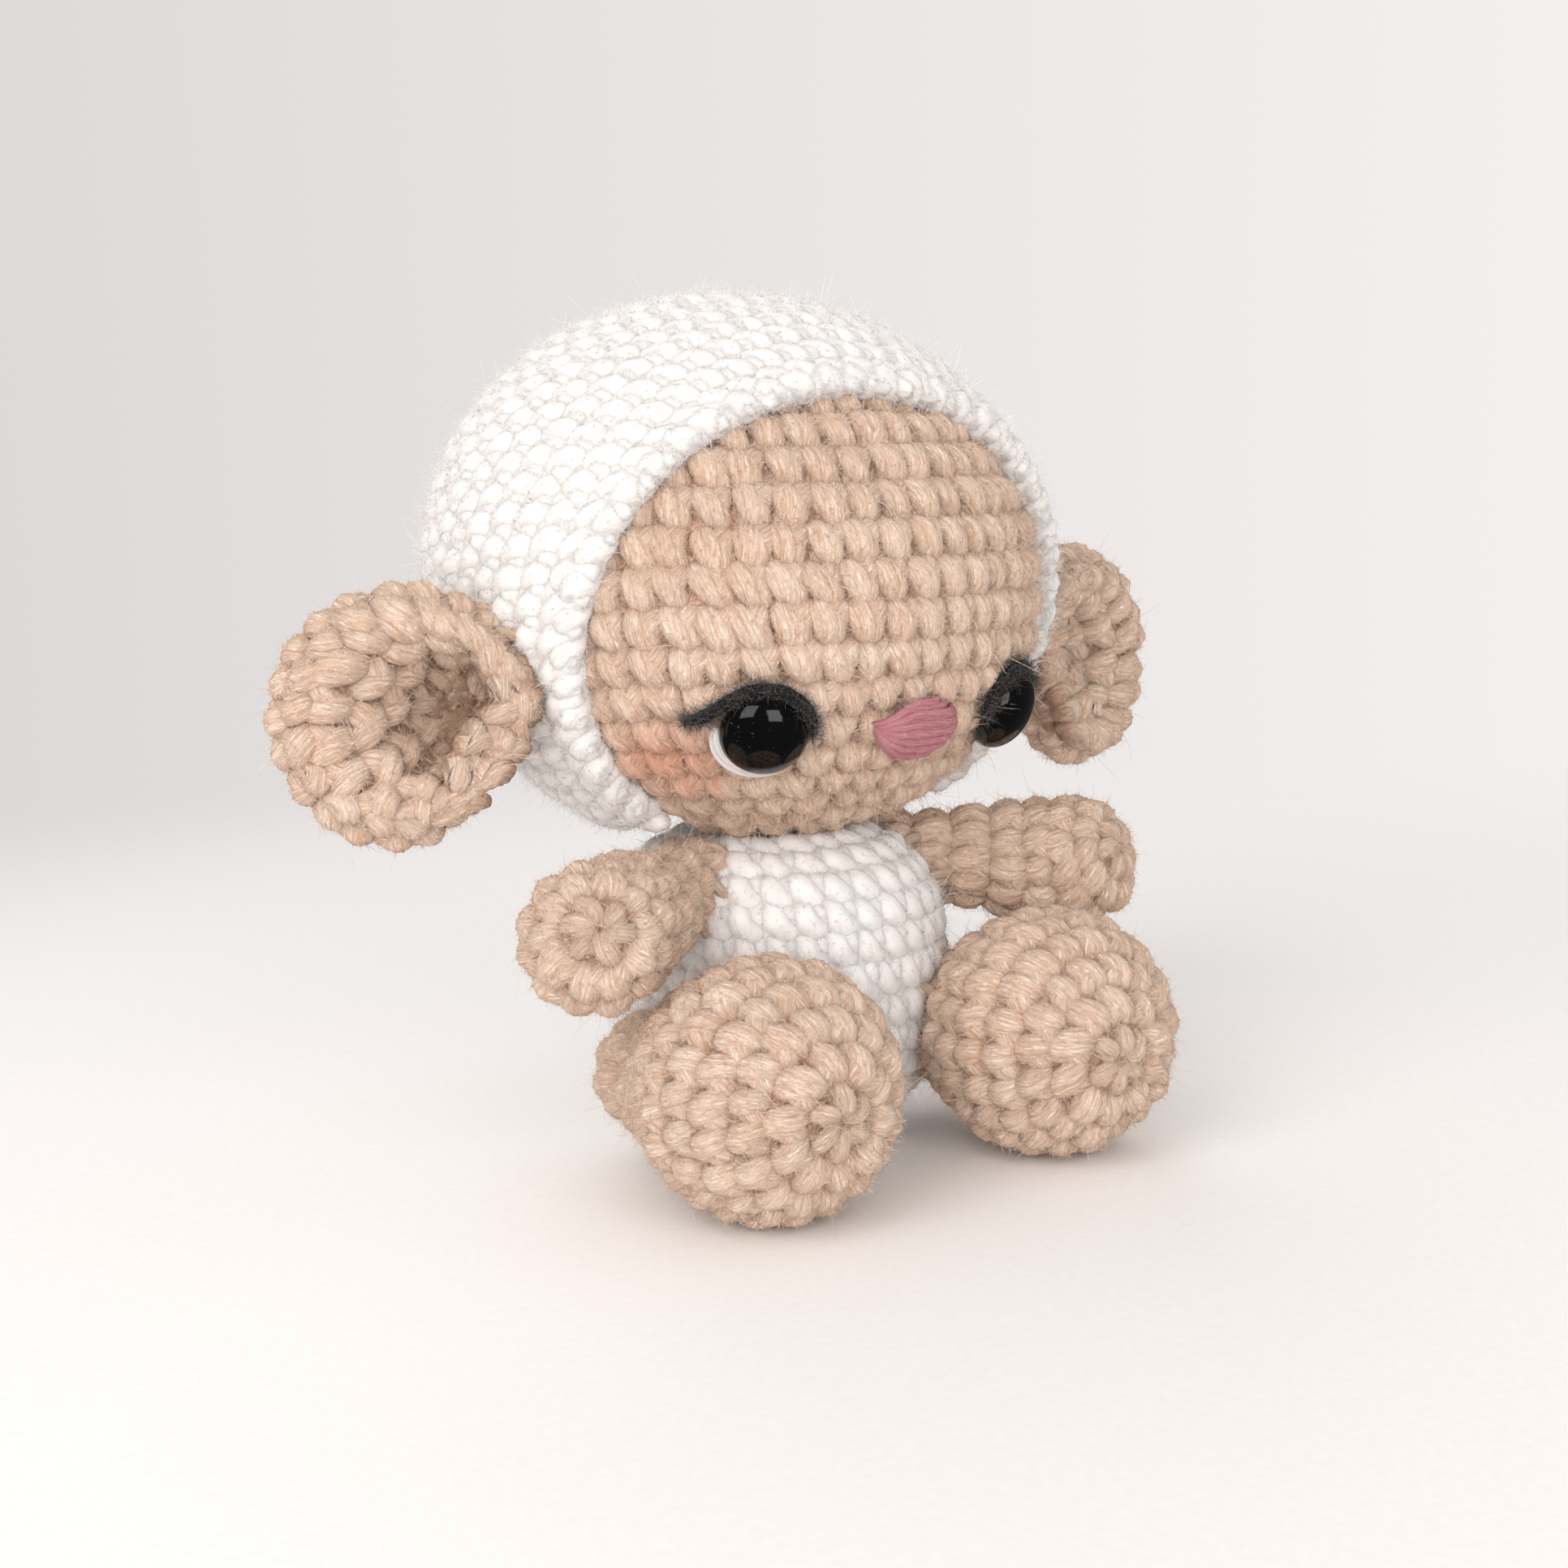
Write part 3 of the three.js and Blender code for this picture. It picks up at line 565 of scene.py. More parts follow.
def worsted_yarn(tree, spot, light, middle, deep, blush=None, sheen=0.35, glow=0.0, relief_high=0.00025,
                 depth=1.0):
    """Soft worsted yarn, spun from short fibres and loosely plied, worked in single crochet.
    The fibres show as fine slanting streaks, a pale halo at the edges and painted warm shade in crevices."""
    along, around, tone, opened = (
        add(tree, "Attribute", {"attribute_name": label}).outputs["Fac"]
        for label in ("along", "around", "tone", "open"))
    # The fibres turn once round the yarn in 20 mm, so they slant by about 20 degrees
    girth = add(tree, "Math", SUM, i0=around, i1=GIRTH, i2=0.0)
    slant = add(tree, "Math", SUM, i0=along, i1=-GIRTH / PLY_TURN, i2=girth)
    lengthwise = add(tree, "Math", SUM, i0=along, i1=0.22, i2=0.0)
    apart = add(tree, "Math", SUM, i0=tone, i1=61.0, i2=0.0)
    lie = add(tree, "CombineXYZ", X=slant, Y=lengthwise, Z=apart)
    fibres = add(tree, "TexNoise", Vector=lie, Scale=5.2, Detail=4.0, Roughness=0.75, Distortion=0.5)
    clumps = add(tree, "TexNoise", Vector=lie, Scale=1.1, Detail=2.0, Roughness=0.5)
    uneven = add(tree, "TexNoise", Vector=spot, Scale=160.0, Detail=3.0, Roughness=0.6)
    # The plies wind round each other, with a groove between every two: a bump, and painted shade in the
    # colour
    wound = -math.pi * PLIES / 2
    for part, share in ((around, math.pi * PLIES), (along, -math.pi * PLIES / PLY_TURN), (tone, PLY_START)):
        wound = add(tree, "Math", SUM, i0=part, i1=share, i2=wound)
    wave = add(tree, "Math", {"operation": "COSINE"}, i0=wound)
    crown = add(tree, "Math", {"operation": "ABSOLUTE"}, i0=wave)
    ply = add(tree, "MapRange", EASED, Value=crown, From_Min=0.02, From_Max=0.6)
    # How light each point is: painted shade low in the stitch, its fibres, and the dye's slight unevenness
    painted_shade_by_height = add(tree, "MapRange", EASED, Value=opened, From_Min=0.05, From_Max=0.8)
    streaks = add(tree, "MapRange", Value=fibres, From_Min=0.36, From_Max=0.64)
    bundles = add(tree, "MapRange", Value=clumps, From_Min=0.3, From_Max=0.7)
    mixed = 0.0
    for part, share in ((painted_shade_by_height, 0.30), (ply, 0.12), (streaks, 0.38), (bundles, 0.14), (tone, 0.08),
                        (uneven, 0.14)):
        mixed = add(tree, "Math", SUM, i0=part, i1=share, i2=mixed)
    # The colour runs from deep, mostly painted shade, through middle to light
    shade = add(tree, "ValToRGB", i0=mixed)
    dark_end, light_end = shade.color_ramp.elements
    dark_end.color, light_end.color, light_end.position = colour(deep), colour(light), 0.95
    shade.color_ramp.elements.new(0.55).color = colour(middle)
    if blush:
        shade = blush(tree, spot, shade)
    # Single fibres on the strand, drawn about half a millimetre apart so that they show
    grain = add(tree, "TexNoise", Vector=spot, Scale=1900.0, Detail=2.0, Roughness=0.7)
    relief = streaks
    for part, share in ((ply, 0.7), (grain, 1.3)):
        relief = add(tree, "Math", SUM, i0=part, i1=share, i2=relief)
    bump = add(tree, "Bump", Strength=0.9, Distance=relief_high, Height=relief)
    return add(tree, "BsdfPrincipled", Base_Color=shade, Roughness=0.92, Normal=bump, Specular_IOR_Level=0.15,
               Sheen_Weight=sheen, Sheen_Roughness=0.45, Sheen_Tint=colour(light), Subsurface_Weight=glow,
               Subsurface_Radius=(0.0022, 0.0021, 0.0020), Subsurface_Scale=depth)


def cheek_blush(tree, spot, shade):
    """Coral chalk rubbed into the cheeks: strongest in the middle, fading out in patches."""
    near = 1.0
    for cheek in CHEEKS:
        away = add(tree, "VectorMath", {"operation": "DISTANCE"}, i0=spot, i1=tuple(cheek * MM))
        near = add(tree, "Math", {"operation": "MINIMUM"}, i0=near, i1=away)
    patchy = add(tree, "TexNoise", Vector=spot, Scale=260.0, Detail=3.0)
    edge = add(tree, "Math", SUM, i0=patchy, i1=0.006, i2=near)
    fade = add(tree, "MapRange", EASED, Value=edge, From_Min=0.0125, From_Max=0.0040, To_Min=0.0, To_Max=0.55)
    rubbed = add(tree, "Mix", {**COLOURS, "blend_type": "MULTIPLY"}, i0=1.0, i6=shade, i7=colour("#f3a283"))
    return add(tree, "Mix", COLOURS, i0=fade, i6=shade, i7=rubbed)


def loose_wool(tree, spot, dark, light):
    """Single fibres that have worked out of the yarn: thin, curled and paler than the yarn itself."""
    tone = add(tree, "Attribute", {"attribute_name": "tone"}).outputs["Fac"]
    shade = add(tree, "ValToRGB", i0=tone)
    shade.color_ramp.elements[0].color, shade.color_ramp.elements[1].color = colour(dark), colour(light)
    return add(tree, "BsdfPrincipled", Base_Color=shade, Roughness=0.75, Specular_IOR_Level=0.3,
               Sheen_Weight=0.4)


def moulded_eye_plastic(tree, spot):
    """Injection-moulded black ABS with a polished cavity: a wet gloss, faint haze and dust specks."""
    haze = add(tree, "TexNoise", Vector=spot, Scale=420.0, Detail=3.0)
    dust = add(tree, "TexNoise", Vector=spot, Scale=2600.0, Detail=1.0)
    specks = add(tree, "MapRange", Value=dust, From_Min=0.70, From_Max=0.76)
    rough = add(tree, "MapRange", Value=haze, From_Min=0.3, From_Max=0.7, To_Min=0.035, To_Max=0.085)
    base = add(tree, "Mix", COLOURS, i0=specks, i6=colour("#060607"), i7=colour("#3a3836"))
    skin = add(tree, "Bump", Strength=0.15, Distance=0.00002, Height=haze)
    return add(tree, "BsdfPrincipled", Base_Color=base, Roughness=rough, IOR=1.46, Normal=skin,
               Specular_IOR_Level=0.5)


def moulded_nylon(tree, spot):
    """The locking washer: translucent white nylon, satin from the mould, with faint flow lines."""
    flow = add(tree, "TexWave", {"wave_type": "RINGS"}, Vector=spot, Scale=300.0, Distortion=4.0)
    grain = add(tree, "TexNoise", Vector=spot, Scale=900.0, Detail=2.0)
    tint = add(tree, "Mix", COLOURS, i0=flow.outputs["Fac"], i6=colour("#e9e7df"), i7=colour("#f3f1ea"))
    skin = add(tree, "Bump", Strength=0.3, Distance=0.00003, Height=grain)
    return add(tree, "BsdfPrincipled", Base_Color=tint, Roughness=0.42, IOR=1.53, Normal=skin,
               Subsurface_Weight=0.15)


def carded_polyester(tree, spot):
    """Hollow-fibre filling, carded into fluff: matt white with soft crossing wisps."""
    wisps = add(tree, "TexNoise", Vector=spot, Scale=520.0, Detail=6.0, Roughness=0.75, Distortion=1.6)
    clumps = add(tree, "TexNoise", Vector=spot, Scale=110.0, Detail=3.0)
    mixed = add(tree, "Math", SUM, i0=wisps, i1=0.7, i2=clumps)
    tint = add(tree, "MapRange", Value=mixed, From_Min=0.5, From_Max=1.2)
    shade = add(tree, "Mix", COLOURS, i0=tint, i6=colour("#dfdeda"), i7=colour("#fbfaf6"))
    skin = add(tree, "Bump", Strength=0.8, Distance=0.0004, Height=mixed)
    return add(tree, "BsdfPrincipled", Base_Color=shade, Roughness=0.95, Normal=skin, Sheen_Weight=0.5)


# Light, middle and deep colour of each yarn; the deep colour is painted shade for crevices and low parts
BEIGE = ("#fbe6d4", "#d9b298", "#623728")
WHITE = ("#f3f1f0", "#edebe9", "#e3ddd9")
CHEEKS = [head_point(math.radians(azimuth), math.radians(CHEEK_LATITUDE))
          for azimuth in (-CHEEK_AZIMUTH, CHEEK_AZIMUTH)]

beige_yarn = new_material("beige_worsted_yarn", worsted_yarn, *BEIGE)
white_yarn = new_material("white_worsted_yarn", worsted_yarn, *WHITE, sheen=0.3, glow=0.4,
                          relief_high=0.00004, depth=0.7)
face_yarn = new_material("face_worsted_yarn", worsted_yarn, *BEIGE, blush=cheek_blush)
black_yarn = new_material("black_lash_yarn", worsted_yarn, "#3a3736", "#1b1919", "#0b0a0a", sheen=0.1)
pink_yarn = new_material("dusty_pink_yarn", worsted_yarn, "#f5b4bb", "#d98690", "#7c3844", sheen=0.3)
beige_wool = new_material("beige_loose_wool", loose_wool, "#d9b597", "#f2dcc8")
white_wool = new_material("white_loose_wool", loose_wool, "#ece9e6", "#f8f5f3")
black_wool = new_material("black_loose_wool", loose_wool, "#0d0c0c", "#2c2928")
pink_wool = new_material("pink_loose_wool", loose_wool, "#cf8292", "#efb9c2")
eye_plastic = new_material("moulded_black_plastic", moulded_eye_plastic)
washer_nylon = new_material("moulded_nylon", moulded_nylon)
wadding = new_material("carded_polyester", carded_polyester)
BEIGE_SET, WHITE_SET, FILLING_SET = (beige_yarn, beige_wool), (white_yarn, white_wool), (wadding, white_wool)


def finish(pieces, materials, body, node):
    """Puts a piece that stands for a node, and its loose fibres, on its body with its finish."""
    for index, piece in enumerate(pieces):
        piece.data.materials.append(materials[min(index, 1)])
        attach(piece, body)
    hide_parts(node)


# The crocheted pieces

def bonnet_kept(at):
    """Where the bonnet has stitches: not in the round opening that lets the neck through."""
    in_bore = np.hypot(at[..., 0], at[..., 1] - BODY_AXIS_Y) < BONNET_HEM
    return ~(in_bore & (at[..., 2] < HEM_TOP))


# The white yarn is softer and brushed, so its stitches are smaller, fuller and flatter
FINE = {"high": 3.9, "wide": 3.7, "radius": 1.72, "relief": 0.34, "uneven": 0.5, "lean": 1.9}

finish(yarn_piece("face_crochet", face_form, 4.0, 95.0, 11, lambda at: ahead_of_face(at) > -3.5, HEAD_CENTRE,
                  70000, sink=0.3), (face_yarn, beige_wool), "head", "head_shell")
finish(yarn_piece("bonnet_crochet", bonnet_form, BONNET_EDGE - HEM_ROLL, 112.0, 12, bonnet_kept, HEAD_CENTRE,
                  180000, points=9, **FINE), WHITE_SET, "head", "bonnet")
finish(yarn_piece("body_crochet", body_form, 4.0, 62.0, 13, clear_of(head_level, 0.5), BODY_CENTRE, 60000,
                  **FINE), WHITE_SET, "torso", "body_shell")
for side_name, side in SIDES.items():
    for kind, spec in LIMBS.items():
        limb, reach = limb_form(kind, side)
        part = f"{side_name}_{kind}"
        finish(yarn_piece(part + "_crochet", limb, 0.4, reach, 20 + 3 * side + (kind == "leg"),
                          clear_of(body_level, -4.0), limb_end(kind, "tip", side), spec["hairs"], sink=0.5),
               BEIGE_SET, part, part + "_shell")
    ear, reach = ear_form(side)
    finish(yarn_piece(f"{side_name}_ear_crochet", ear, 0.4, reach - 0.6, 40 + side, clear_of(head_level, 1.5),
                      EAR_CENTRE * [side, 1, 1], 28000, high=4.0, sink=0.3),
           BEIGE_SET, f"{side_name}_ear", f"{side_name}_ear")


# Small pieces of yarn: each is one or more plied strands along a drawn line

def yarn_strands(name, lines, outward, thickness, seed, ring=STRAND_RING, loose=0, longest=1.6, ends=0.35):
    """Plied strands along smooth lines. outward is one way out of the fabric or one for each point,
    thickness a radius for each line, ends the share of it that is left at both ends, and loose the
    number of fibres that have worked out."""
    rng = np.random.default_rng(seed)
    lines = np.array(lines, float)
    outward = np.broadcast_to(outward, lines.shape)
    share = np.linspace(0, 1, lines.shape[1])
    plump = ends + (1 - ends) * np.minimum(1, np.sin(math.pi * share) * 2.2) ** 0.6
    radii = np.array(thickness, float)[:, None] * plump[None, :]
    # The ends, where a strand goes into the fabric, get painted shade
    height = 0.35 + 0.65 * np.clip(np.sin(math.pi * share) * 1.6, 0, 1)
    tones = rng.uniform(0, 1, len(lines))
    shell, faces, reads = strand_tubes(lines, outward, radii, tones, height, ring)
    fabric = make_mesh(name, shell, faces, reads)
    if not loose:
        return (fabric,)
    outs = ways_off_tubes(shell, ring)
    return fabric, *loose_fibres(name + "_frizz", shell, outs, loose, rng, longest, thin=0.024, steps=3)


def face_frame(azimuth, latitude):
    """A point on the face with its outward, sideways and upward directions."""
    turn, rise = math.radians(azimuth), math.radians(latitude)
    across = head_point(turn + 0.01, rise) - head_point(turn - 0.01, rise)
    upward = head_point(turn, rise + 0.01) - head_point(turn, rise - 0.01)
    normal = unit(np.cross(across, upward))
    side_way = unit(np.cross(UPWARD, normal))
    return head_point(turn, rise), normal, side_way, np.cross(normal, side_way)


def on_the_face(frame_at, across, up, rise):
    """Lays drawn millimetres on the curved face, so many millimetres proud of it."""
    root, normal, side_way, upward = frame_at
    sink = (across ** 2 + up ** 2) / (2 * HEAD_RADIUS)
    return (root + across[..., None] * side_way + up[..., None] * upward
            + (rise - sink)[..., None] * normal)


def lathe_piece(name, profile, root, axis, columns=64):
    """A turned piece: profile of radius and height, turned about an axis from a root point."""
    profile = np.array(profile, float)
    east = unit(np.cross(axis, [0.3, 0.2, 1.0]))
    north = np.cross(axis, east)
    turns = angles_round(columns)[:, None]
    ring = np.cos(turns) * east + np.sin(turns) * north
    points = root + profile[:, 0, None, None] * ring[None] + (profile[:, 1, None] * axis)[:, None, :]
    return make_mesh(name, points.reshape(-1, 3), tube_faces(1, len(profile), columns), {})


# The safety eye: the ribbed post that goes through the fabric, a small flange, and the dome
POST_END, POST_RADIUS, RIB_RADIUS, DOME_LOW, DOME_HIGH = -9.0, 1.3, 1.55, 0.7, 3.2
SAFETY_EYE = [(0.02, POST_END), (0.9, POST_END)]
for rib in (-8.4, -6.9, -5.3, -3.8):
    SAFETY_EYE += [(RIB_RADIUS, rib + 0.1), (POST_RADIUS, rib + 0.5), (POST_RADIUS, rib + 1.0)]
SAFETY_EYE += [(POST_RADIUS, -0.4), (1.4, 0.0), (4.3, 0.0), (4.7, 0.15), (EYE_RADIUS, 0.45),
               (EYE_RADIUS, DOME_LOW)]
SAFETY_EYE += [(EYE_RADIUS * math.cos(turn), DOME_LOW + DOME_HIGH * math.sin(turn))
               for turn in np.linspace(0.06, 1.565, 22)]

# The lash: three lengths of black yarn side by side along a line over the eye, drawn out to a wing
LASH_LINE = [(-4.9, -0.6), (-4.7, 1.3), (-3.6, 3.4), (-1.4, 4.8), (1.2, 4.9), (3.2, 4.0), (4.9, 2.9),
             (6.7, 1.9), (8.4, 1.2)]
LASH_STRANDS = [(0.0, 0.8), (0.6, 0.7), (0.25, 1.25)]
LASH_POINTS, CRESCENT_POINTS, NOSE_POINTS = 40, 36, 24


def lash(spot, side):
    strands = []
    line, share = through(LASH_LINE, LASH_POINTS), np.linspace(0, 1, LASH_POINTS)
    for shift, lift in LASH_STRANDS:
        grown = line * (1 + shift / np.linalg.norm(line, axis=1, keepdims=True) * (1 - share ** 3)[:, None])
        wobble = 0.12 * np.sin(9 * share + 4 * shift)
        strands.append(on_the_face(spot, grown[:, 0] * side, grown[:, 1], lift + wobble))
    return strands


def crescent(spot, side):
    """The white of the eye: a crescent of white yarn round the outer, lower edge."""
    strands = []
    angles = np.radians(np.linspace(8, -118, CRESCENT_POINTS))
    for out_by in (0.25, 0.95):
        reach = EYE_RADIUS + 0.15 + out_by * np.sin(np.linspace(0.15, math.pi - 0.1, CRESCENT_POINTS))
        strands.append(on_the_face(spot, reach * np.cos(angles) * side, reach * np.sin(angles),
                                   np.full(CRESCENT_POINTS, 0.55 - 0.1 * out_by)))
    return strands


for side_name, side in SIDES.items():
    spot = face_frame(EYE_AZIMUTH * side, EYE_LATITUDE)
    root, normal, _, _ = spot
    finish((lathe_piece(f"{side_name}_safety_eye", SAFETY_EYE, root, normal),), (eye_plastic,), "head",
           f"{side_name}_eye")
    finish(yarn_strands(f"{side_name}_lash_yarn", lash(spot, side), normal, [0.55, 0.5, 0.46], 60 + side,
                        loose=2200, longest=2.4, ends=0.3),
           (black_yarn, black_wool), "head", f"{side_name}_eyelash")
    finish(yarn_strands(f"{side_name}_white_of_eye", crescent(spot, side), normal, [0.62, 0.5], 70 + side,
                        loose=120, longest=0.9, ends=0.2),
           WHITE_SET, "head", f"{side_name}_eye_white")
    washer = bpy.data.objects[f"{side_name}_eye_washer"]
    washer.data.materials.clear()
    washer.data.materials.append(washer_nylon)

# The nose: satin stitches that fan out from one corner and end on a round edge
NOSE_HALF, NOSE_START, NOSE_STRANDS = 3.6, -5.2, 14


def satin_stitches(spot):
    strands = []
    share = np.linspace(0, 1, NOSE_POINTS)
    for index, bend in enumerate(np.linspace(-1, 1, NOSE_STRANDS)):
        reach = 0.6 + 5.2 * math.sqrt(1 - 0.9 * bend ** 2)
        across = NOSE_START + (reach - NOSE_START) * share
        spread = smooth((across + 5.5) / 4.6) ** 0.6 * (1 - 0.16 * smooth((across - 0.5) / 5.0))
        # The ends go down into the face, the left ones deeper
        dip = np.where(share < 0.5, 1.0, 0.72) * np.abs(2 * share - 1) ** 6
        rise = (2.3 - 0.9 * bend ** 2 + 0.3 * (index % 2)) * (1 - dip) - 0.35
        strands.append(on_the_face(spot, across, 0.1 + NOSE_HALF * bend * spread, rise))
    return strands


nose_spot = face_frame(NOSE_AZIMUTH, NOSE_LATITUDE)
finish(yarn_strands("nose_stitches", satin_stitches(nose_spot), nose_spot[1], [0.47] * NOSE_STRANDS, 80,
                    loose=700, longest=1.5, ends=0.5), (pink_yarn, pink_wool), "head", "nose")


# Sewing: short whip stitches that cross from one piece to the other

# How far each point of a stitch lies along the first piece, along the second, out of the first,
# out of the second, and along the seam
WHIP_STITCH = [(2.2, 0.0, -1.4, 0.0, -0.7), (1.8, 0.0, -0.3, 0.0, -0.5), (1.1, 0.0, 0.25, 0.1, -0.2),
               (0.4, 0.3, 0.3, 0.3, 0.0), (0.0, 0.8, 0.0, 0.15, 0.2), (0.0, 1.2, 0.0, -0.6, 0.4),
               (0.0, 1.4, 0.0, -1.5, 0.6)]
WHIP_POINTS, WHIP_RING = 13, 9


def whip_stitches(name, crossings, thickness, seed):
    """Each stitch comes out of one piece, lies over the corner and goes down into the other.
    A crossing is its corner and the ways out of the first and the second piece."""
    lines, outs = [], []
    for corner, out_one, out_two in crossings:
        edge = unit(np.cross(out_one, out_two))
        ways = (np.cross(edge, out_one), np.cross(out_two, edge), out_one, out_two, edge)
        parts = through(WHIP_STITCH, WHIP_POINTS).T
        lines.append(corner + sum(np.outer(part, way) for part, way in zip(parts, ways)))
        outs.append(np.broadcast_to(unit(out_one + out_two), (WHIP_POINTS, 3)))
    return yarn_strands(name, lines, outs, [thickness] * len(lines), seed, ring=WHIP_RING, loose=160,
                        ends=0.6)


def limb_crossings(form, reach, count):
    """Where a limb goes into the body, found by walking up the limb from its tip."""
    crossings = []
    for around in angles_round(count):
        line, outs = out_of_fabric(form, np.full(160, around), np.linspace(reach * 0.35, reach, 160))
        hits = np.flatnonzero(body_level(line, 0.0) < 1)
        if len(hits) and hits[0]:
            corner, out = line[hits[0]], outs[hits[0]]
            crossings.append((corner - 0.6 * out, out, way_out(body_level, corner, 0.0)))
    return crossings


def ear_crossings(form, reach, side):
    """Where the ear meets the bonnet, behind and before, found by walking over the ear's edge."""
    crossings = []
    toward = math.pi if side > 0 else 0.0
    for around in toward + np.radians(np.linspace(-46, 46, 9)):
        line, outs = out_of_fabric(form, np.full(200, around), np.linspace(0.5, reach * 0.8, 200), side)
        outs = outs * np.sign(outs[0, 1])
        within = head_level(line, BONNET_OUT) < 1
        for at in np.flatnonzero(within[1:] != within[:-1])[:2]:
            crossings.append((line[at], outs[at], way_out(head_level, line[at], BONNET_OUT)))
    return crossings


WISPS, LUMP_WAVES, LUMP_PITCH, LUMP_DEPTH = 350, 7, 0.28, 0.9


def wad(name, form, reach, depth, seed, top=None, columns=48, rows=32):
    """A wad of filling: the form drawn in behind its fabric, lumpy where the fluff bunches."""
    rng = np.random.default_rng(seed)
    point, out = all_over(form, 0.5, reach, rows, columns)
    waves = rng.normal(0, LUMP_PITCH, (LUMP_WAVES, 3))
    lumps = sum(np.sin(point @ wave + index) for index, wave in enumerate(waves)) / LUMP_WAVES
    shell = point - out * (depth + LUMP_DEPTH * lumps[..., None])
    if top is not None:
        shell[..., 2] = np.minimum(shell[..., 2], top + 0.5 * lumps)
    shell = shell.reshape(-1, 3)
    fluff = make_mesh(name, shell, tube_faces(1, rows, columns), {})
    return fluff, *loose_fibres(name + "_wisps", shell, -out.reshape(-1, 3), WISPS, rng, longest=3.0,
                                thin=0.03, steps=4)


for side_name, side in SIDES.items():
    for kind, spec in LIMBS.items():
        limb, reach = limb_form(kind, side)
        part = f"{side_name}_{kind}"
        finish(whip_stitches(part + "_sewing", limb_crossings(limb, reach, spec["sewing"]), 0.66, 90 + side),
               BEIGE_SET, part, part + "_seam")
        finish(wad(part + "_wadding", limb, reach * 0.64, 3.4, 100 + side), FILLING_SET, part,
               part + "_filling")
    finish(whip_stitches(f"{side_name}_ear_sewing", ear_crossings(*ear_form(side), side), 0.8, 110 + side),
           BEIGE_SET, "head", f"{side_name}_ear_seam")
finish(wad("head_wadding", face_form, 100.0, 3.6, 120), FILLING_SET, "head",
       "head_filling")
finish(wad("body_wadding", body_form, 62.0, 3.6, 121, top=31.5), FILLING_SET, "torso",
       "body_filling")

# The neck: yarn wound round the last round of the body and caught to the head
turns = np.linspace(0, 2 * math.pi * NECK_TURNS, 150)
away = NECK_RADIUS + 0.3 * np.sin(turns * 2.5)
wound = np.stack([away * np.cos(turns), BODY_AXIS_Y + away * np.sin(turns),
                  NECK_HEIGHT + 0.45 * (turns / turns[-1] - 0.5)], -1)
finish(yarn_strands("neck_sewing", wound[None], UPWARD, [0.42], 130, ring=WHIP_RING), WHITE_SET, "neck",
       "neck_seam")

finish(yarn_piece("tail_crochet", tail_form, 0.3, 12.0, 131, clear_of(body_level, -2.0), TAIL_CENTRE, 5000,
                  high=3.1, wide=3.0, radius=1.2, relief=0.6), WHITE_SET, "torso", "tail")


# Where the camera stood: three quarters from the lamb's right, a little above it
VIEW_AZIMUTH, VIEW_ELEVATION, VIEW_DISTANCE, VIEW_ROLL = -32.9, 7.4, 258.0, 2.2
VIEW_RIGHT = way_to(VIEW_AZIMUTH + 90, 0)
VIEW_TARGET = [0, SHIFT_Y - 8.0, 43.0] - VIEW_RIGHT


def place_camera():
    back = way_to(VIEW_AZIMUTH, VIEW_ELEVATION)
    camera = bpy.data.cameras.new("camera")
    camera.lens, camera.sensor_width = 50, 36
    camera.clip_start, camera.clip_end = 0.01, 10
    level = Vector(back).to_track_quat("Z", "Y").to_matrix()
    rolled = level @ Matrix.Rotation(math.radians(-VIEW_ROLL), 3, "Z")
    stand = put_in_scene("camera", camera)
    stand.matrix_world = Matrix.LocRotScale(Vector((VIEW_TARGET + back * VIEW_DISTANCE) * MM), rolled, None)
    bpy.context.scene.camera = stand


# The studio: a pale table in a pale room, one big soft lamp and three fills

def matt_paper(tree, spot):
    """The table's covering: calendered matt paper, so pale and grainy without a gloss. It fades out
    into the pale wall all round."""
    grain = add(tree, "TexNoise", Vector=spot, Scale=900.0, Detail=2.0)
    paper = add(tree, "Mix", COLOURS, i0=grain, i6=colour("#f3f0ef"), i7=colour("#faf8f7"))
    top = add(tree, "BsdfPrincipled", Base_Color=paper, Roughness=0.95, Specular_IOR_Level=0.1)
    away = add(tree, "VectorMath", {"operation": "LENGTH"}, i0=spot)
    fade = add(tree, "MapRange", {"interpolation_type": "SMOOTHERSTEP"}, Value=away, From_Min=0.10,
               From_Max=0.42)
    path = add(tree, "LightPath")
    faded = add(tree, "Math", {"operation": "MULTIPLY"}, i0=fade, i1=path.outputs["Is Camera Ray"])
    unseen = add(tree, "Math", LARGER, i0=faded, i1=path.outputs["Is Glossy Ray"])
    return add(tree, "MixShader", i0=unseen, i1=top, i2=add(tree, "BsdfTransparent"))


def round_table(reach=1.5, corners=96):
    mesh = bpy.data.meshes.new("table")
    edge = [(reach * math.cos(turn), reach * math.sin(turn), 0.0) for turn in angles_round(corners)]
    mesh.from_pydata(edge, [], [list(range(corners))])
    mesh.materials.append(new_material("matt_paper_table", matt_paper))
    put_in_scene("table", mesh)


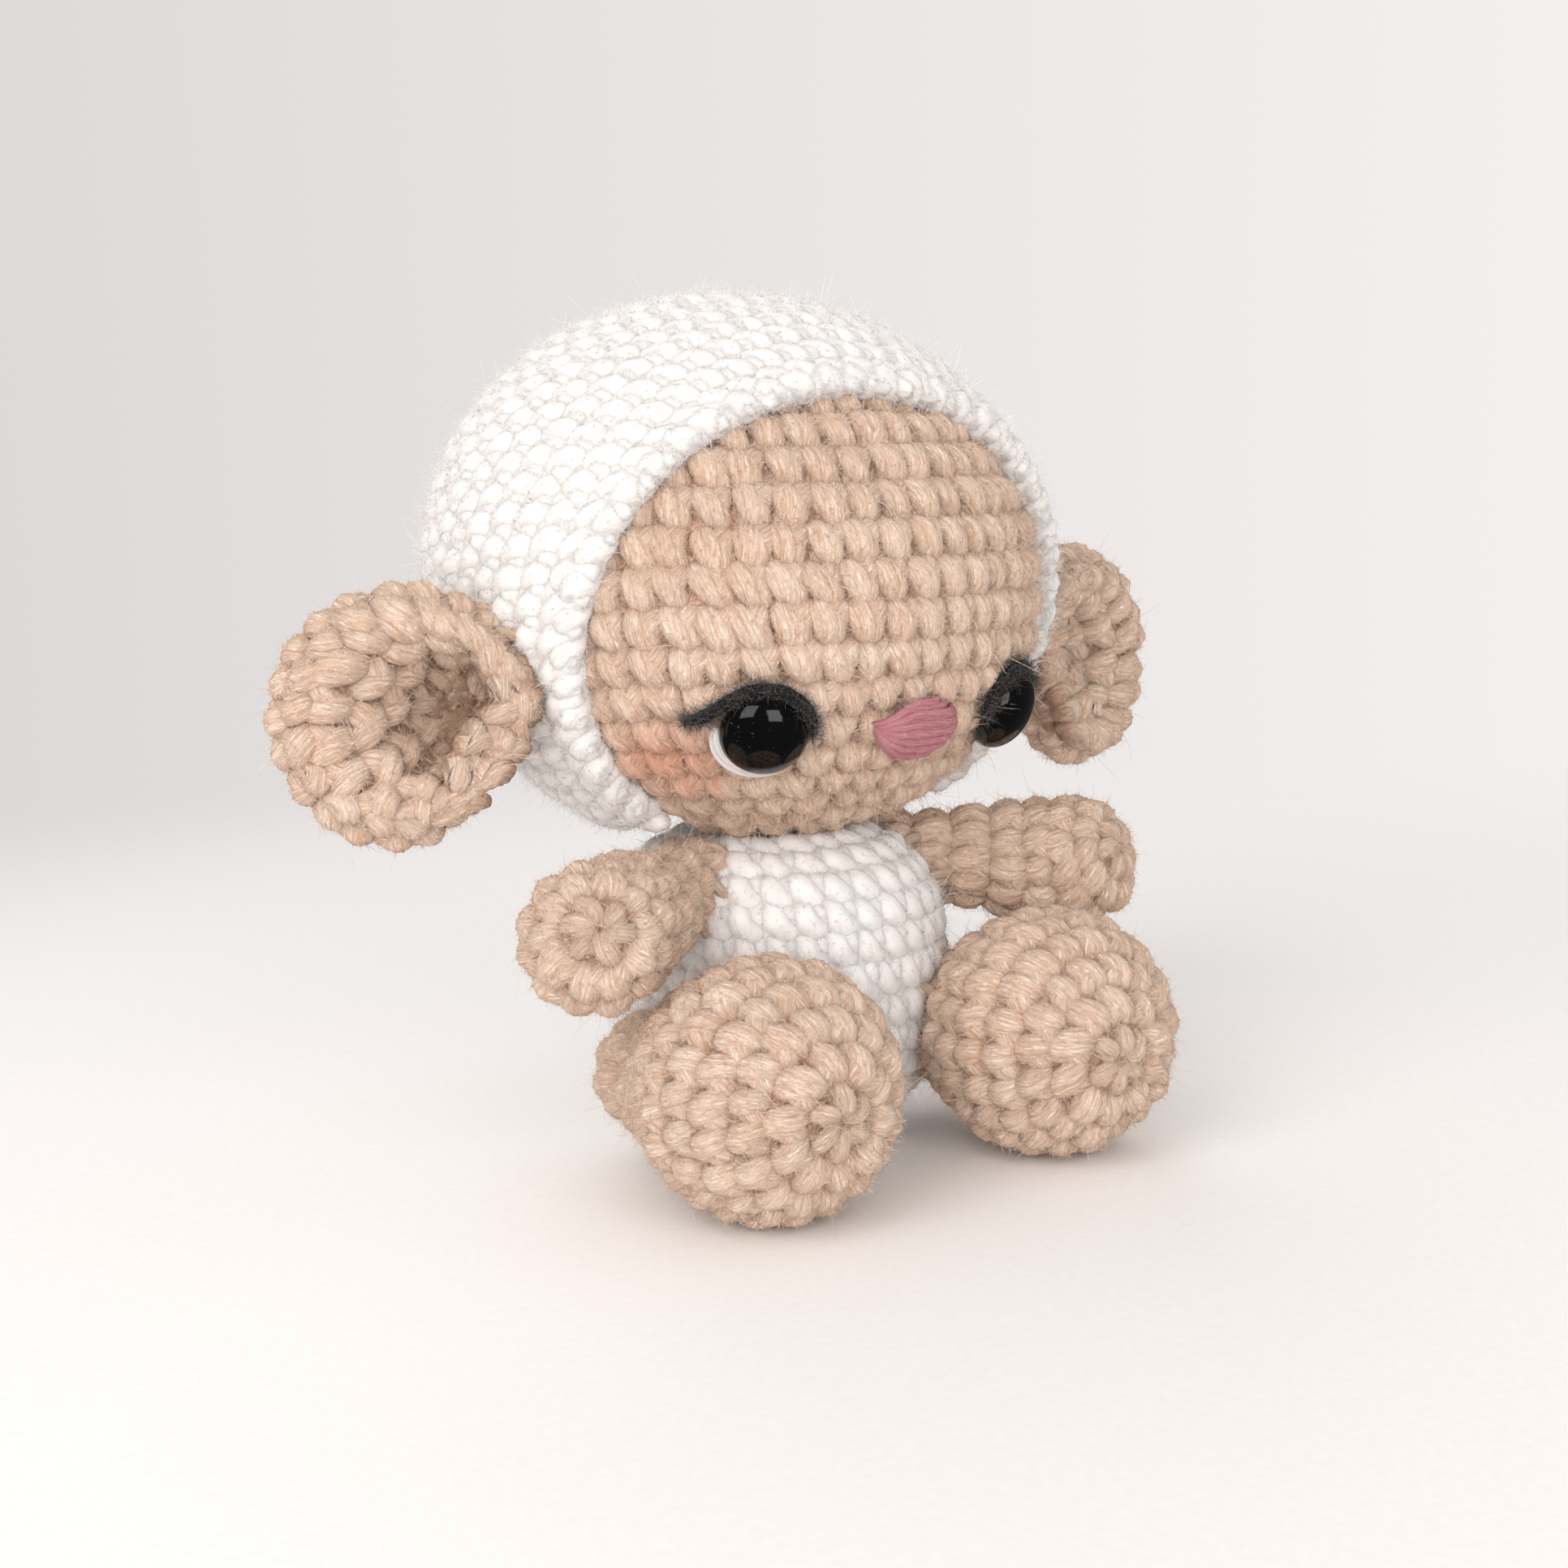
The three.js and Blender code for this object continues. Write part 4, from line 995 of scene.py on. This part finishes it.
def pale_room():
    """Even white light from all round; what the camera and glossy surfaces see of it is a pale wall,
    a little brighter on one side as painted light."""
    world = bpy.data.worlds.new("pale_room")
    world.use_nodes = True
    tree = world.node_tree
    tree.nodes.clear()
    way = add(tree, "TexCoord").outputs["Generated"]
    # Painted light: the wall is lighter towards the camera's right
    side_on = add(tree, "VectorMath", {"operation": "DOT_PRODUCT"}, i0=way, i1=tuple(VIEW_RIGHT))
    level = add(tree, "MapRange", Value=side_on, From_Min=-0.35, From_Max=0.35)
    wall = add(tree, "Mix", COLOURS, i0=level, i6=colour("#dcd9d8"), i7=colour("#f4f0ef"))
    path = add(tree, "LightPath")
    seen = path.outputs["Is Camera Ray"]
    for ray in ("Is Glossy Ray", "Is Transmission Ray"):
        seen = add(tree, "Math", LARGER, i0=seen, i1=path.outputs[ray])
    dimmed = add(tree, "MapRange", Value=path.outputs["Is Glossy Ray"], To_Min=1.0, To_Max=0.1)
    light = add(tree, "Background", Color=colour("#fffdfb"), Strength=0.59)
    view = add(tree, "Background", Color=wall, Strength=dimmed)
    add(tree, "OutputWorld", Surface=add(tree, "MixShader", i0=seen, i1=light, i2=view))
    bpy.context.scene.world = world


def lamp(name, azimuth, elevation, distance, size, power, tint="#ffffff", mirrored=True):
    """A soft oblong lamp that faces the lamb. Where it isn't mirrored, no gloss shows it."""
    light = bpy.data.lights.new(name, "AREA")
    light.shape, light.size, light.size_y, light.energy = "RECTANGLE", size, size * 1.2, power
    light.color = colour(tint)[:3]
    stand = put_in_scene(name, light)
    way = Vector(way_to(azimuth, elevation))
    stand.location = Vector((0, 0, 0.05)) + way * distance
    stand.rotation_euler = way.to_track_quat("Z", "Y").to_euler()
    stand.visible_glossy = mirrored


place_camera()
round_table()
pale_room()
lamp("soft_box", VIEW_AZIMUTH - 36, 34, 0.9, 0.55, 3.0)
lamp("back_fill", VIEW_AZIMUTH + 190, 24, 0.9, 0.55, 2.4)
lamp("front_fill", VIEW_AZIMUTH + 26, 16, 0.8, 0.4, 1.75)
lamp("low_fill", VIEW_AZIMUTH - 8, 0, 0.55, 0.4, 2.3, "#fff2ea", mirrored=False)

bpy.context.scene.view_settings.view_transform = "Standard"
